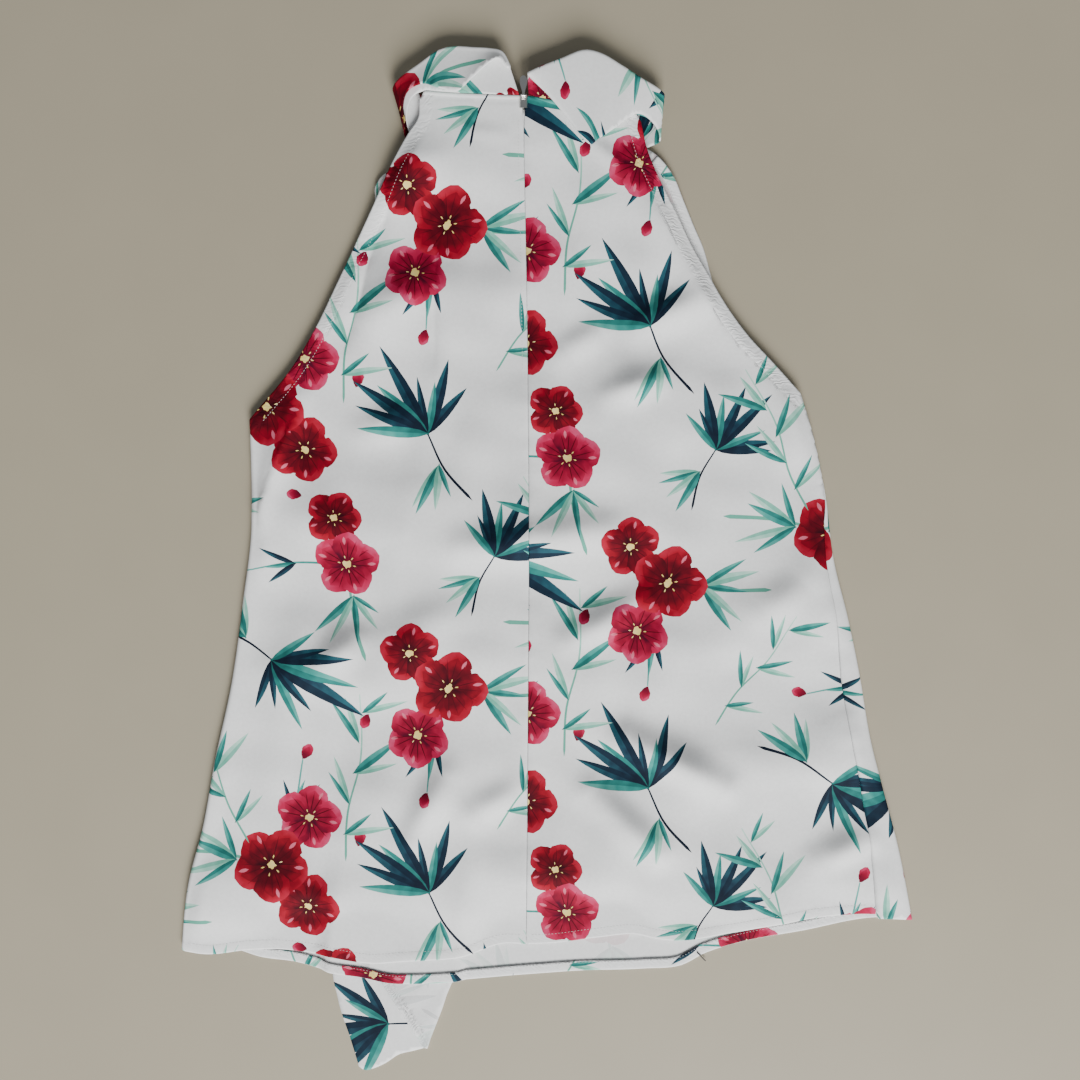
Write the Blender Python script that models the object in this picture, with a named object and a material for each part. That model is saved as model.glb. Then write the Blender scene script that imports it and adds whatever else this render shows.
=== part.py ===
# Sleeveless halter-neck top, laid flat on a floor with its back up.
# Lengths are in millimetres until a mesh is made. X is across the garment, +Y towards the neck, +Z up.
# Z = 0 is the floor. X = Y = 0 is the middle of the garment's outline.

import math

import bmesh
import bpy
import numpy as np

MM = 0.001

# Walls and gaps
CLOTH = 1.0  # one layer of cloth
BAND = 1.4  # the doubled cloth of the neckband
TURN_UP = 0.7  # the hem allowance that lies on the inside of the front
TAPE = 0.6  # the zip's woven tape
SEAM = 0.3  # gap between two pieces at a seam
NECK_SEAM = 0.45
EDGE_LEAD = 6.0  # strip along a panel's outer edge that may turn up or down

# Grid sizes
ARMHOLE_ROWS = 11
SIDE_ROWS = 18
FRONT_COLUMNS = (5, 1, 5, 1, 8)  # outside, beside and on the tie, from the left
BACK_COLUMNS = 10
TURN_COLUMNS = (1, 5, 0)  # columns on the straight lead, the bend and the part beyond it
WRAP_COLUMNS = (1, 8, 4)
BAND_COLUMNS = 64
BAND_STAND_ROWS = 4
BAND_ROLL_ROWS = 4
BAND_FALL_ROWS = 4
TIE_ROWS = 26
TIE_TURN_COLUMNS = (1, 5, 4)

# Outer edges of the body, from the neck down: x, y
BACK_ARMHOLE_LEFT = [
    (-86.5, 321.5), (-87.0, 306.5), (-93.5, 296.4), (-104.5, 276.9), (-116.6, 251.3), (-124.9, 234.5),
    (-142.2, 198.6), (-158.9, 164.7), (-176.9, 135.7), (-194.3, 114.9), (-204.0, 103.6),
]
BACK_ARMHOLE_RIGHT = [
    (62.5, 307.4), (68.0, 284.3), (76.9, 264.1), (88.6, 241.9), (98.6, 221.6), (110.0, 202.0),
    (119.0, 186.4), (137.6, 160.6), (153.9, 143.2), (173.6, 121.7),
]
FRONT_ARMHOLE_LEFT = [
    (-80.0, 283.6), (-93.0, 280.0), (-106.9, 273.2), (-113.8, 267.8), (-117.4, 261.5), (-117.4, 254.0),
    (-121.0, 240.0), (-139.5, 199.5), (-156.5, 165.5), (-175.0, 136.0), (-204.0, 103.6),
]
FRONT_ARMHOLE_RIGHT = [
    (63.5, 289.0), (71.4, 285.5), (79.6, 278.5), (86.5, 268.9), (92.7, 254.7), (100.2, 237.2),
    (107.2, 221.6), (111.7, 206.1), (117.0, 187.0), (136.0, 159.5), (152.5, 142.0), (173.6, 121.7),
]
SIDE_LEFT = [
    (-204.0, 103.6), (-203.7, 69.0), (-204.1, 24.2), (-210.1, -20.7), (-218.3, -76.3), (-230.8, -132.3),
    (-240.4, -181.5), (-249.9, -216.8), (-254.5, -248.0), (-256.1, -266.4),
]
SIDE_RIGHT = [
    (173.6, 121.7), (182.1, 96.4), (188.6, 69.0), (192.2, 49.7), (198.1, 7.0), (208.2, -32.5),
    (217.0, -73.5), (225.2, -119.0), (233.9, -151.9), (244.1, -189.2), (256.0, -243.8),
]

# How the right side seam rides up over the edge onto the back: y, share of the bend that the front covers
# as an angle in degrees, width of the front's strip on top
RIGHT_WRAP = [
    (290.0, 0.0, 0.0), (130.0, 0.0, 0.0), (112.0, 60.0, 0.0), (90.0, 90.0, 0.0), (66.0, 90.0, 0.0),
    (48.0, 140.0, 0.0), (34.0, 180.0, 0.8), (7.0, 180.0, 3.0), (-32.0, 180.0, 6.0), (-73.5, 180.0, 10.5),
    (-119.0, 180.0, 11.5), (-151.9, 180.0, 13.0), (-189.2, 180.0, 16.5), (-244.0, 180.0, 22.5),
]
# The left side seam lies on the edge itself: y, angle that each panel turns through
LEFT_TURN = [(320.0, 0.0), (118.0, 0.0), (98.0, 60.0), (80.0, 88.0), (-270.0, 88.0)]

# Hems: x, y
BACK_HEM = [
    (-256.1, -266.4), (-244.2, -269.3), (-206.4, -267.1), (-191.7, -266.7), (-156.0, -270.7), (-119.0, -275.7),
    (-102.8, -274.3), (-53.8, -270.0), (-30.7, -262.9), (-14.0, -263.2), (1.0, -262.7), (35.1, -258.6),
    (63.8, -256.5), (76.4, -259.3), (93.2, -260.5), (131.6, -254.4), (195.2, -243.7), (221.0, -241.2),
    (231.5, -241.6),
]
FRONT_HEM = [
    (-256.1, -266.4), (-241.0, -266.0), (-219.7, -267.4), (-202.3, -272.8), (-176.4, -276.6), (-151.2, -283.5),
    (-130.2, -286.4), (-110.6, -290.6), (-91.7, -291.0), (-53.9, -288.9), (-16.0, -285.6), (25.3, -282.8),
    (68.1, -281.4), (94.7, -278.9), (112.1, -270.0), (131.7, -263.6), (179.2, -254.4), (230.1, -244.9),
    (256.0, -245.5),
]
# The centre back seam, down from the neck
CENTRE_SEAM = [
    (-15.9, 320.6), (-15.7, 286.3), (-14.4, 218.9), (-13.0, 117.0), (-12.4, 20.8), (-13.1, -90.3),
    (-13.9, -195.6), (-14.6, -262.9),
]
ZIP_MOUTH_HALF = 0.9  # the seam's half gap at the slider
ZIP_MOUTH_Y = (296.0, 310.0)  # where the gap starts to open, and where it is open

# The neckband's stations, from the left edge of the centre back round the front to the right edge.
# turn is 0 on the back, 90 where the loop folds, 180 on the front. base is the neck seam, top the fold
# along the band, edge the free edge that falls back over the stand.
NECKBAND = [
    # turn, base x, base y, top x, top y, edge x, edge y
    (0.0, -18.9, 321.5, -25.2, 340.5, -26.5, 338.0),
    (0.0, -26.5, 321.6, -30.2, 349.5, -32.0, 343.5),
    (0.0, -36.5, 322.0, -38.5, 351.8, -38.5, 341.0),
    (0.0, -47.5, 322.5, -50.0, 352.5, -51.0, 330.0),
    (0.0, -59.8, 323.0, -61.5, 353.0, -60.5, 321.8),
    (0.0, -72.0, 323.8, -73.0, 350.5, -72.5, 324.3),
    (4.0, -83.0, 324.2, -87.0, 340.5, -83.5, 327.0),
    (38.0, -90.2, 318.8, -95.5, 332.5, -91.5, 320.0),
    (90.0, -92.0, 303.0, -98.0, 326.5, -90.5, 299.0),
    (140.0, -87.5, 291.0, -90.0, 318.0, -86.0, 279.0),
    (176.0, -74.0, 281.0, -76.0, 309.0, -73.5, 258.0),
    (180.0, -47.0, 268.0, -48.0, 297.0, -46.0, 240.0),
    (180.0, -12.0, 262.0, -12.0, 291.0, -12.0, 232.0),
    (180.0, 24.0, 267.0, 25.0, 296.0, 23.0, 238.0),
    (176.0, 49.0, 280.0, 51.0, 308.0, 48.5, 262.0),
    (140.0, 62.5, 293.5, 66.0, 318.0, 62.0, 286.5),
    (90.0, 68.5, 300.0, 73.0, 322.0, 70.0, 292.0),
    (38.0, 67.5, 305.5, 71.0, 325.5, 66.5, 303.5),
    (4.0, 60.0, 308.9, 63.0, 331.5, 59.5, 308.5),
    (0.0, 47.0, 311.8, 48.5, 341.0, 46.9, 299.8),
    (0.0, 36.0, 313.5, 36.0, 348.0, 35.0, 292.0),
    (0.0, 24.0, 315.3, 24.0, 350.0, 28.0, 288.6),
    (0.0, 12.0, 317.0, 9.5, 344.5, 15.6, 303.1),
    (0.0, -1.0, 319.2, -2.5, 340.0, 1.2, 320.0),
    (0.0, -12.6, 321.2, -13.2, 335.2, -11.5, 332.5),
]
BACK_LEFT_NECK = (5.3, 0.0)  # where each panel's neck seam starts and ends, as station numbers
FRONT_NECK = (10.0, 14.5)
BACK_RIGHT_NECK = (24.0, 18.25)
TIE_JOIN = (11.06, 12.86)  # and the tie's join to the band's free edge
BAND_MID_HEIGHT = 7.0  # height of the loop's middle, where it folds at each side
STAND_RADIUS = 2.6  # from there to the stand, which is inside
FALL_RADIUS = 6.3  # and to the fall, which is outside
FALL_DROOP = 2.2  # how far the fall's edge sinks towards the back panel

# The tie, from the neckband down: y, left x, right x, angle of its turned-over corner, width of that corner
TIE = [
    (236.0, -44.0, 18.0, 0.0, 0.2), (150.0, -64.0, 4.0, 0.0, 0.2), (50.0, -88.0, -17.0, 0.0, 0.2),
    (-50.0, -109.0, -35.0, 0.0, 0.2), (-150.0, -129.0, -51.0, 0.0, 0.2), (-220.0, -142.5, -61.6, 0.0, 0.2),
    (-234.0, -145.2, -62.8, 180.0, 0.2), (-248.0, -147.9, -63.9, 180.0, 22.0),
    (-268.0, -151.0, -65.2, 180.0, 49.0), (-289.9, -150.3, -66.5, 180.0, 49.0),
    (-299.9, -148.0, -70.7, 180.0, 39.0), (-309.9, -145.7, -73.9, 180.0, 29.0),
    (-331.0, -138.9, -82.1, 180.0, 7.5), (-337.8, -136.8, -84.2, 180.0, 1.5),
]
TIE_END = [(-132.8, -351.8), (-129.3, -354.3), (-121.5, -352.8), (-113.8, -349.2), (-103.9, -342.8),
           (-94.7, -340.6), (-86.2, -338.3)]
HEM_TURN_UP = 8.6  # width of the front's hem allowance
TIE_ROLL = 0.95  # radius of the turned corner's fold
TIE_LEAD = 2.0
TIE_SHOULDER = 9.0  # how far the front takes to come down beside the tie
TIE_BACK_SHOULDER = 20.0  # and the back

# Heights of the cloth's middle surface
FLOOR_LAYER = CLOTH / 2
FRONT_NECK_RISE = 3.9  # the front over the neckband's fall
FRONT_NECK_RUN = 75.0
BACK_LIFT = 3.7  # the back above the front
EDGE_LIFT = 1.9  # and so much more along the edges
EDGE_RUN = 24.0
HEM_SETTLE = 0.32  # share of the lift lost at the hem
HEM_SETTLE_Y = (-215.0, -258.0)
BACK_NECK_RISE = 1.5
BACK_NECK_RUN = 90.0

# The largest soft folds of the back: from x, y to x, y, width, height
BACK_FOLDS = [
    (-170.0, 118.0, -200.0, 34.0, 8.0, 4.6),  # tuck from the left armhole to the side
    (-150.0, 178.0, -118.0, 226.0, 12.0, 2.6),  # along the left armhole
    (-76.0, 226.0, -74.0, 96.0, 9.0, 1.8),
    (-112.0, 262.0, -62.0, 288.0, 9.0, 1.8),
    (44.0, 282.0, 96.0, 206.0, 12.0, 2.6),  # from the collar's corner down the right armhole
    (118.0, 176.0, 150.0, 132.0, 12.0, 2.4),
    (62.0, 190.0, 92.0, 96.0, 14.0, 2.2),
    (64.0, -60.0, 78.0, -236.0, 15.0, 2.6),
    (176.0, -60.0, 206.0, -214.0, 12.0, 2.2),
    (-64.0, -120.0, -50.0, -250.0, 14.0, 2.0),
    (-170.0, -40.0, -196.0, -190.0, 15.0, 2.2),
    (128.0, -150.0, 134.0, -240.0, 11.0, 1.8),
]

# Zip
ZIP_LENGTH = 180.0
TAPE_WIDTH = 20.0
SLIDER_CENTRE = (-15.9, 316.6)
SLIDER_WIDTH = 5.6
SLIDER_LENGTH = 8.4
SLIDER_STEM = 1.0
SLIDER_PLATE = (10.65, 11.5)  # bottom and top of the plate that shows
SLIDER_FOOT = (7.5, 8.95)  # and of the body below the cloth
BAIL_Y = 320.0
BAIL_WIDTH = 4.4
BAIL_BAR = 0.8
PULL_AXIS_Z = 13.2
PULL_EYE = (0.85, 1.4)  # hole and outer radius
PULL_EYE_WIDTH = 2.2
PULL_LENGTH = 13.0
PULL_WIDTH = 5.2
PULL_WALL = 0.9
PULL_OUTLINE = [  # along the tab, and share of its half width
    (0.0, 0.30), (0.25, 0.55), (0.55, 0.92), (0.72, 1.0), (0.86, 0.86), (0.96, 0.5), (1.0, 0.2),
]


def ease(t):
    """0 to 1, with level ends."""
    t = np.clip(t, 0.0, 1.0)
    return t * t * (3 - 2 * t)


def smooth(rows, knots, at):
    """A smooth curve through a table's rows, read at the given places."""
    rows = np.array(rows, float)
    knots = np.array(knots, float)
    slopes = np.gradient(rows, knots, axis=0)
    k = np.clip(np.searchsorted(knots, at, side="right") - 1, 0, len(knots) - 2)
    step = (knots[k + 1] - knots[k])[:, None]
    t = (at - knots[k])[:, None] / step
    start = rows[k] * (1 + 2 * t) * (1 - t) ** 2 + slopes[k] * step * t * (1 - t) ** 2
    end = rows[k + 1] * t * t * (3 - 2 * t) + slopes[k + 1] * step * t * t * (t - 1)
    return start + end


def edge_points(table, places):
    """Points on the smooth curve through an edge's points. places is a count of equal steps, or shares."""
    rows = np.array(table, float)
    knots = np.concatenate([[0.0], np.cumsum(np.linalg.norm(np.diff(rows, axis=0), axis=1))])
    shares = np.linspace(0.0, 1.0, places + 1) if np.ndim(places) == 0 else places
    return smooth(rows, knots, shares * knots[-1])


def down_edge(armhole, side, crowding=1.0):
    """A panel's outer edge from the neck to the hem, with a row at the underarm. Crowding is towards the neck."""
    upper = edge_points(armhole, np.linspace(0, 1, ARMHOLE_ROWS + 1) ** crowding)
    return np.concatenate([upper, edge_points(side, SIDE_ROWS)[1:]])


def read(table, y, column):
    """A table's column at height y, where y falls down the table."""
    rows = np.array(table, float)[::-1]
    return np.interp(y, rows[:, 0], rows[:, column])


def patch(left, right, top, bottom, columns):
    """Plan points of a panel between its four edges. columns holds each row's places from 0 to 1."""
    steps = np.linalg.norm(np.diff(left, axis=0), axis=1) + np.linalg.norm(np.diff(right, axis=0), axis=1)
    v = np.concatenate([[0.0], np.cumsum(steps)])[:, None, None] / steps.sum()
    u = np.broadcast_to(columns, (len(left), np.shape(columns)[-1]))
    top = along(top, u)
    bottom = along(bottom, u)
    u = u[..., None]
    corners = (1 - u) * (1 - v) * left[0] + u * (1 - v) * right[0] + (1 - u) * v * left[-1] + u * v * right[-1]
    return (1 - u) * left[:, None] + u * right[:, None] + (1 - v) * top + v * bottom - corners


def along(line, places):
    """Points of a line at the given places from 0 to 1 of its run in x."""
    x = line[0, 0] + places * (line[-1, 0] - line[0, 0])
    return np.stack([x, np.interp(x, line[:, 0], line[:, 1])], axis=-1)


def outline_x(side):
    """A function that gives the body's outer x at a given y: side is -1 for the left, 1 for the right."""
    armhole, seam = (BACK_ARMHOLE_LEFT, SIDE_LEFT) if side < 0 else (BACK_ARMHOLE_RIGHT, SIDE_RIGHT)
    rows = np.array(armhole + seam[1:], float)[::-1]
    return lambda y: np.interp(y, rows[:, 1], rows[:, 0])


LEFT_OUTLINE = outline_x(-1)
RIGHT_OUTLINE = outline_x(1)


def band_at(stations):
    """The neckband's rows at the given station numbers, whole or between."""
    return smooth(NECKBAND, np.arange(len(NECKBAND)), np.asarray(stations, float))


def band_place(stations, plan, radius):
    """Moves plan points of the band out from the loop's middle, up on the back and down on the front."""
    turn = np.radians(np.clip(band_at(stations)[:, 0], 0, 180))
    side = np.where(np.asarray(stations) < len(NECKBAND) / 2, -1.0, 1.0)
    return np.column_stack([
        plan[:, 0] + radius * side * np.sin(turn), plan[:, 1], BAND_MID_HEIGHT + radius * np.cos(turn)
    ])


def neck_line(part, count):
    """Points along the neckband's base between two stations."""
    stations = np.linspace(part[0], part[1], count + 1)
    return band_place(stations, band_at(stations)[:, 1:3], STAND_RADIUS)[:, :2]


FRONT_NECK_LINE = neck_line(FRONT_NECK, 40)
BACK_NECK_LINE = np.concatenate([neck_line(BACK_LEFT_NECK, 20), neck_line(BACK_RIGHT_NECK, 20)])


def tie_rise(x, y, shoulder):
    """How far the cloth above the tie is lifted by it."""
    left, right = read(TIE, y, 1), read(TIE, y, 2)
    beside = np.maximum(np.maximum(left - x, x - right), 0.0)
    doubled = ease((-192.0 - y) / 34.0)
    below_collar = ease((262.0 - y) / 24.0)
    level = (CLOTH + SEAM + 0.15) + doubled * (2 * TIE_ROLL + 0.1)
    return level * below_collar * (1 - ease((beside - 1.5) / shoulder))


def front_height(x, y, shoulder=TIE_SHOULDER):
    """Height of the front panel, which lies on the floor, the tie and the neckband's fall."""
    below_neck = np.interp(x, FRONT_NECK_LINE[:, 0], FRONT_NECK_LINE[:, 1]) - y
    rise = FRONT_NECK_RISE * (1 - ease(below_neck / FRONT_NECK_RUN))
    return FLOOR_LAYER + np.maximum(rise, tie_rise(x, y, shoulder))


def fold_height(x, y, folds):
    """Soft ridges, highest in the middle of their run."""
    total = np.zeros_like(np.asarray(x, float) + np.asarray(y, float))
    for x1, y1, x2, y2, width, height in folds:
        run = math.hypot(x2 - x1, y2 - y1)
        along = ((x - x1) * (x2 - x1) + (y - y1) * (y2 - y1)) / run
        across = ((x - x1) * (y2 - y1) - (y - y1) * (x2 - x1)) / run
        ends = np.clip(along / run, 0, 1)
        over = np.maximum(np.maximum(-along, along - run), 0)
        shape = np.exp(-((across / width) ** 2)) * np.exp(-((over / width) ** 2))
        total = total + height * shape * (0.55 + 0.45 * np.sin(math.pi * ends))
    return total


def back_height(x, y):
    """Height of the back panels above the front."""
    from_edge = np.minimum(x - LEFT_OUTLINE(y), RIGHT_OUTLINE(y) - x)
    lift = BACK_LIFT + EDGE_LIFT * np.exp(-((np.maximum(from_edge, 0) / EDGE_RUN) ** 2))
    settle = ease((HEM_SETTLE_Y[0] - y) / (HEM_SETTLE_Y[0] - HEM_SETTLE_Y[1]))
    lift = lift * (1 - HEM_SETTLE * settle)
    below_neck = np.interp(x, BACK_NECK_LINE[:, 0], BACK_NECK_LINE[:, 1]) - y
    near_neck = 1 - ease(below_neck / BACK_NECK_RUN)
    edge_fade = ease(from_edge / 10.0)
    folds = fold_height(x, y, BACK_FOLDS) * (1 - near_neck) * edge_fade
    lift = lift * (1 - near_neck) + (BACK_LIFT + BACK_NECK_RISE) * near_neck
    return front_height(x, y, TIE_BACK_SHOULDER) + lift + folds


def lay(plan, height):
    """Gives plan points their height."""
    return np.dstack([plan, height(plan[..., 0], plan[..., 1])])


def edge_middle(side, y):
    """Height halfway between the back and the front at the garment's outer edge."""
    x = (LEFT_OUTLINE(y) if side < 0 else RIGHT_OUTLINE(y)) - side * EDGE_LEAD / 2
    return (front_height(x, y) + back_height(x, y)) / 2


def turn_edge(grid, radius, angle, beyond, lead, upward, counts):
    """Adds columns past each row's last point: straight on, then round a bend, then flat for a stretch."""
    start = grid[:, -1]
    lead = np.broadcast_to(lead, len(grid))
    heading = grid[:, -1, :2] - grid[:, -2, :2]
    heading = heading / np.linalg.norm(heading, axis=1)[:, None]
    knots = np.concatenate([[0], np.cumsum(counts)])
    rows = []
    for i in range(len(grid)):
        r, turn = radius[i], angle[i]
        straight = lead[i] - r * math.sin(min(turn, math.pi / 2))
        ends = [0.0, straight, straight + r * turn, straight + r * turn + beyond[i]]
        k = np.arange(1, knots[-1] + 1)
        fitted = 0.85 * min(turn, 1.0)
        s = fitted * np.interp(k, knots, ends) + (1 - fitted) * k / knots[-1] * ends[-1]
        bent = np.clip((s - straight) / r, 0, turn)
        after = np.maximum(s - ends[2], 0)
        out = np.minimum(s, straight) + r * np.sin(bent) + after * math.cos(turn)
        up = r * (1 - np.cos(bent)) + after * math.sin(turn)
        plan = start[i, :2] + heading[i] * out[:, None]
        rows.append(np.column_stack([plan, start[i, 2] + upward * up]))
    return np.concatenate([grid, np.array(rows)], axis=1)


def material(name, colour, roughness, metallic=0.0):
    made = bpy.data.materials.new(name)
    made.use_nodes = True
    shader = made.node_tree.nodes["Principled BSDF"]
    shader.inputs["Base Color"].default_value = (*colour, 1.0)
    shader.inputs["Roughness"].default_value = roughness
    shader.inputs["Metallic"].default_value = metallic
    return made


def new_object(name, mesh, surface):
    mesh.materials.append(surface)
    mesh.shade_smooth()
    mesh.set_sharp_from_angle(angle=math.radians(40))
    made = bpy.data.objects.new(name, mesh)
    bpy.context.scene.collection.objects.link(made)
    return made


def sheet(name, grid, wall, surface):
    """A wall of cloth round a grid of points on its middle surface."""
    rows, columns = grid.shape[:2]
    points = (grid.reshape(-1, 3) * MM).tolist()
    faces = [
        (i * columns + j, (i + 1) * columns + j, (i + 1) * columns + j + 1, i * columns + j + 1)
        for i in range(rows - 1)
        for j in range(columns - 1)
    ]
    mesh = bpy.data.meshes.new(name)
    mesh.from_pydata(points, [], faces)
    made = new_object(name, mesh, surface)
    thick = made.modifiers.new("wall", "SOLIDIFY")
    thick.thickness = wall * MM
    thick.offset = 0.0
    return made


def neck_edge(part, count=40):
    """The panel's top edge, one seam gap below the neckband's base, from left to right."""
    return neck_line(part, count) - (0.0, NECK_SEAM)


def seam_edge(side):
    """The centre back seam's edge of one panel, which opens at the zip's slider."""
    line = edge_points(CENTRE_SEAM, ARMHOLE_ROWS + SIDE_ROWS)
    opened = ease((line[:, 1] - ZIP_MOUTH_Y[0]) / (ZIP_MOUTH_Y[1] - ZIP_MOUTH_Y[0]))
    line[:, 0] += side * (SEAM / 2 + (ZIP_MOUTH_HALF - SEAM / 2) * opened)
    return line


def hem_edge(table, left_x, right_x, count=200):
    x = np.linspace(left_x, right_x, count + 1)
    fine = edge_points(table, 400)
    return np.column_stack([x, np.interp(x, fine[:, 0], fine[:, 1])])


def panel(left, right, top, bottom, columns, height):
    """A panel's grid. Its side edges' ends are moved onto the top and bottom edges."""
    left[0], left[-1] = top[0], bottom[0]
    right[0], right[-1] = top[-1], bottom[-1]
    return lay(patch(left, right, top, bottom, columns), height)


def side_gap(turn):
    """Half the gap at the side seam, which is wider where the seam climbs over the edge."""
    climbing = (turn > math.radians(91)) & (turn < math.radians(179))
    return np.where(climbing, SEAM, SEAM / 2)


def front_columns(left, right):
    """Columns of the front, which follow the tie's two edges so that the cloth can step down beside them."""
    rows = []
    for y, x1, x2 in zip(left[:, 1], left[:, 0], right[:, 0]):
        tie_left, tie_right = read(TIE, y, 1), read(TIE, y, 2)
        step = TIE_SHOULDER + 1.5
        marks = [x1, max(tie_left - step, x1 + 14), tie_left - 1.5, tie_right + 1.5, tie_right + step, x2]
        places = [np.linspace(a, b, n + 1)[:-1] for a, b, n in zip(marks, marks[1:], FRONT_COLUMNS)]
        rows.append((np.concatenate(places + [[x2]]) - x1) / (x2 - x1))
    return np.array(rows)


def front_panel(surface):
    """The front, under the back. Its right edge turns up over the side and ends at the side seam on top."""
    left = down_edge(FRONT_ARMHOLE_LEFT, SIDE_LEFT) + (EDGE_LEAD, 0)
    right = down_edge(FRONT_ARMHOLE_RIGHT, SIDE_RIGHT) - (EDGE_LEAD, 0)
    bottom = hem_edge(FRONT_HEM, left[-1, 0], right[-1, 0])
    columns = front_columns(left, right)
    grid = panel(left, right, neck_edge(FRONT_NECK), bottom, columns, front_height)
    hem = grid[-2:]

    y = grid[:, -1, 1]
    radius = edge_middle(1, y) - grid[:, -1, 2]
    angle = np.radians(read(RIGHT_WRAP, y, 1))
    angle = np.where(angle < math.pi, np.maximum(angle - side_gap(angle) / radius, 0.02), angle)
    beyond = np.maximum(read(RIGHT_WRAP, y, 2) - SEAM / 2, 0.0)
    grid = turn_edge(grid, radius, angle, beyond, EDGE_LEAD, 1, WRAP_COLUMNS)
    strip = grid[:, -sum(WRAP_COLUMNS):]
    top = back_height(strip[..., 0], strip[..., 1])
    share = ease((strip[..., 2] - edge_middle(1, y)[:, None]) / radius[:, None])
    strip[..., 2] += share * (angle >= math.pi)[:, None] * (top - (edge_middle(1, y) + radius)[:, None])

    grid = grid[:, ::-1]
    y = grid[:, -1, 1]
    radius = edge_middle(-1, y) - grid[:, -1, 2]
    angle = np.maximum(np.radians(read(LEFT_TURN, y, 1)) - SEAM / 2 / radius, 0.02)
    grid = turn_edge(grid, radius, angle, np.zeros_like(y), EDGE_LEAD, 1, TURN_COLUMNS)
    return sheet("front", grid[:, ::-1], CLOTH, surface), hem


def back_left_panel(surface):
    left = down_edge(BACK_ARMHOLE_LEFT, SIDE_LEFT, 1.35) + (EDGE_LEAD, 0)
    right = seam_edge(-1)
    bottom = hem_edge(BACK_HEM, left[-1, 0], right[-1, 0])
    columns = np.linspace(0, 1, BACK_COLUMNS + 1)
    grid = panel(left, right, neck_edge(BACK_LEFT_NECK), bottom, columns, back_height)[:, ::-1]
    y = grid[:, -1, 1]
    radius = grid[:, -1, 2] - edge_middle(-1, y)
    angle = np.maximum(np.radians(read(LEFT_TURN, y, 1)) - SEAM / 2 / radius, 0.02)
    grid = turn_edge(grid, radius, angle, np.zeros_like(y), EDGE_LEAD, -1, TURN_COLUMNS)
    return sheet("back_left", grid[:, ::-1], CLOTH, surface)


def back_right_panel(surface):
    """The right half of the back. Its outer edge is the side seam, which runs in from the garment's side."""
    left = seam_edge(1)
    right = down_edge(BACK_ARMHOLE_RIGHT, SIDE_RIGHT, 1.35)
    y = right[:, 1]
    right = right - np.column_stack([EDGE_LEAD + read(RIGHT_WRAP, y, 2), np.zeros_like(y)])
    bottom = hem_edge(BACK_HEM, left[-1, 0], right[-1, 0] - 0.9)
    columns = np.linspace(0, 1, BACK_COLUMNS + 1)
    grid = panel(left, right, neck_edge(BACK_RIGHT_NECK), bottom, columns, back_height)
    y = grid[:, -1, 1]
    radius = grid[:, -1, 2] - edge_middle(1, y)
    front_turn = np.radians(read(RIGHT_WRAP, y, 1))
    front_radius = edge_middle(1, y) - front_height(right[:, 0], y)
    angle = np.minimum(front_turn, math.pi - front_turn)
    angle = np.maximum(angle - side_gap(front_turn) / radius, 0.01)
    reach = EDGE_LEAD - front_radius * np.sin(np.minimum(front_turn, math.pi / 2)) + radius * np.sin(angle)
    reach = reach - SEAM / 2 * (front_turn > math.radians(179))
    grid = turn_edge(grid, radius, angle, np.zeros_like(y), reach, -1, TURN_COLUMNS)
    return sheet("back_right", grid, CLOTH, surface)


def neckband(surface):
    """One folded band: a stand that rises from the neck seam, a roll along its top, and a fall outside it."""
    at = np.linspace(0, len(NECKBAND) - 1, BAND_COLUMNS + 1)
    rows = band_at(at)
    base, top, edge = rows[:, 1:3], rows[:, 3:5], rows[:, 5:7]
    on_back = np.maximum(np.cos(np.radians(rows[:, 0])), 0)
    roll = (FALL_RADIUS - STAND_RADIUS) / 2
    up = top - base
    up = up / np.linalg.norm(up, axis=1)[:, None]
    crest = top - up * roll
    down = edge - crest
    lines = []
    for k in range(BAND_STAND_ROWS + 1):
        share = k / BAND_STAND_ROWS
        lines.append(band_place(at, base + (crest - base) * share, STAND_RADIUS))
    for k in range(1, BAND_ROLL_ROWS):
        turned = math.pi * k / BAND_ROLL_ROWS
        plan = crest + up * roll * math.sin(turned)
        lines.append(band_place(at, plan, STAND_RADIUS + roll * (1 - math.cos(turned))))
    for k in range(BAND_FALL_ROWS + 1):
        share = k / BAND_FALL_ROWS
        line = band_place(at, crest + down * share, FALL_RADIUS)
        line[:, 2] -= FALL_DROOP * share**2 * on_back
        lines.append(line)
    return sheet("neckband", np.array(lines), BAND, surface)


def tie_strip(surface):
    """The neckband's long tie, under the front. The corner of its end is turned over."""
    rows = np.array(TIE)
    top = band_at(np.linspace(*TIE_JOIN, 41))[:, 5:7] - (0.0, SEAM + 0.1)
    left = edge_points([*zip(rows[:-1, 1], rows[:-1, 0]), TIE_END[0]], TIE_ROWS)
    right = edge_points(np.column_stack([rows[:, 2] - TIE_LEAD, rows[:, 0]]), TIE_ROWS)
    bottom = edge_points(TIE_END, 40)
    columns = np.linspace(0, 1, 7)
    grid = panel(left, right, top, bottom, columns, lambda x, y: np.full_like(x, CLOTH / 2))
    y = grid[:, -1, 1]
    angle = np.maximum(np.radians(read(TIE, y, 3)), 0.02)
    grid = turn_edge(grid, np.full_like(y, TIE_ROLL), angle, read(TIE, y, 4), TIE_LEAD, 1, TIE_TURN_COLUMNS)
    return sheet("neck_tie", grid, CLOTH, surface)


def hem_turn_up(hem, surface):
    """The front's hem allowance, which shows below the back: a strip made from the front's last rows."""
    run = np.linalg.norm(hem[0] - hem[1], axis=1)[:, None]
    rows = [hem[1] + (hem[0] - hem[1]) / run * place for place in (HEM_TURN_UP, HEM_TURN_UP / 2, 0.5)]
    grid = np.array(rows)
    grid[..., 2] += (CLOTH + TURN_UP) / 2 + SEAM
    return sheet("front_hem", grid, TURN_UP, surface)


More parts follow.
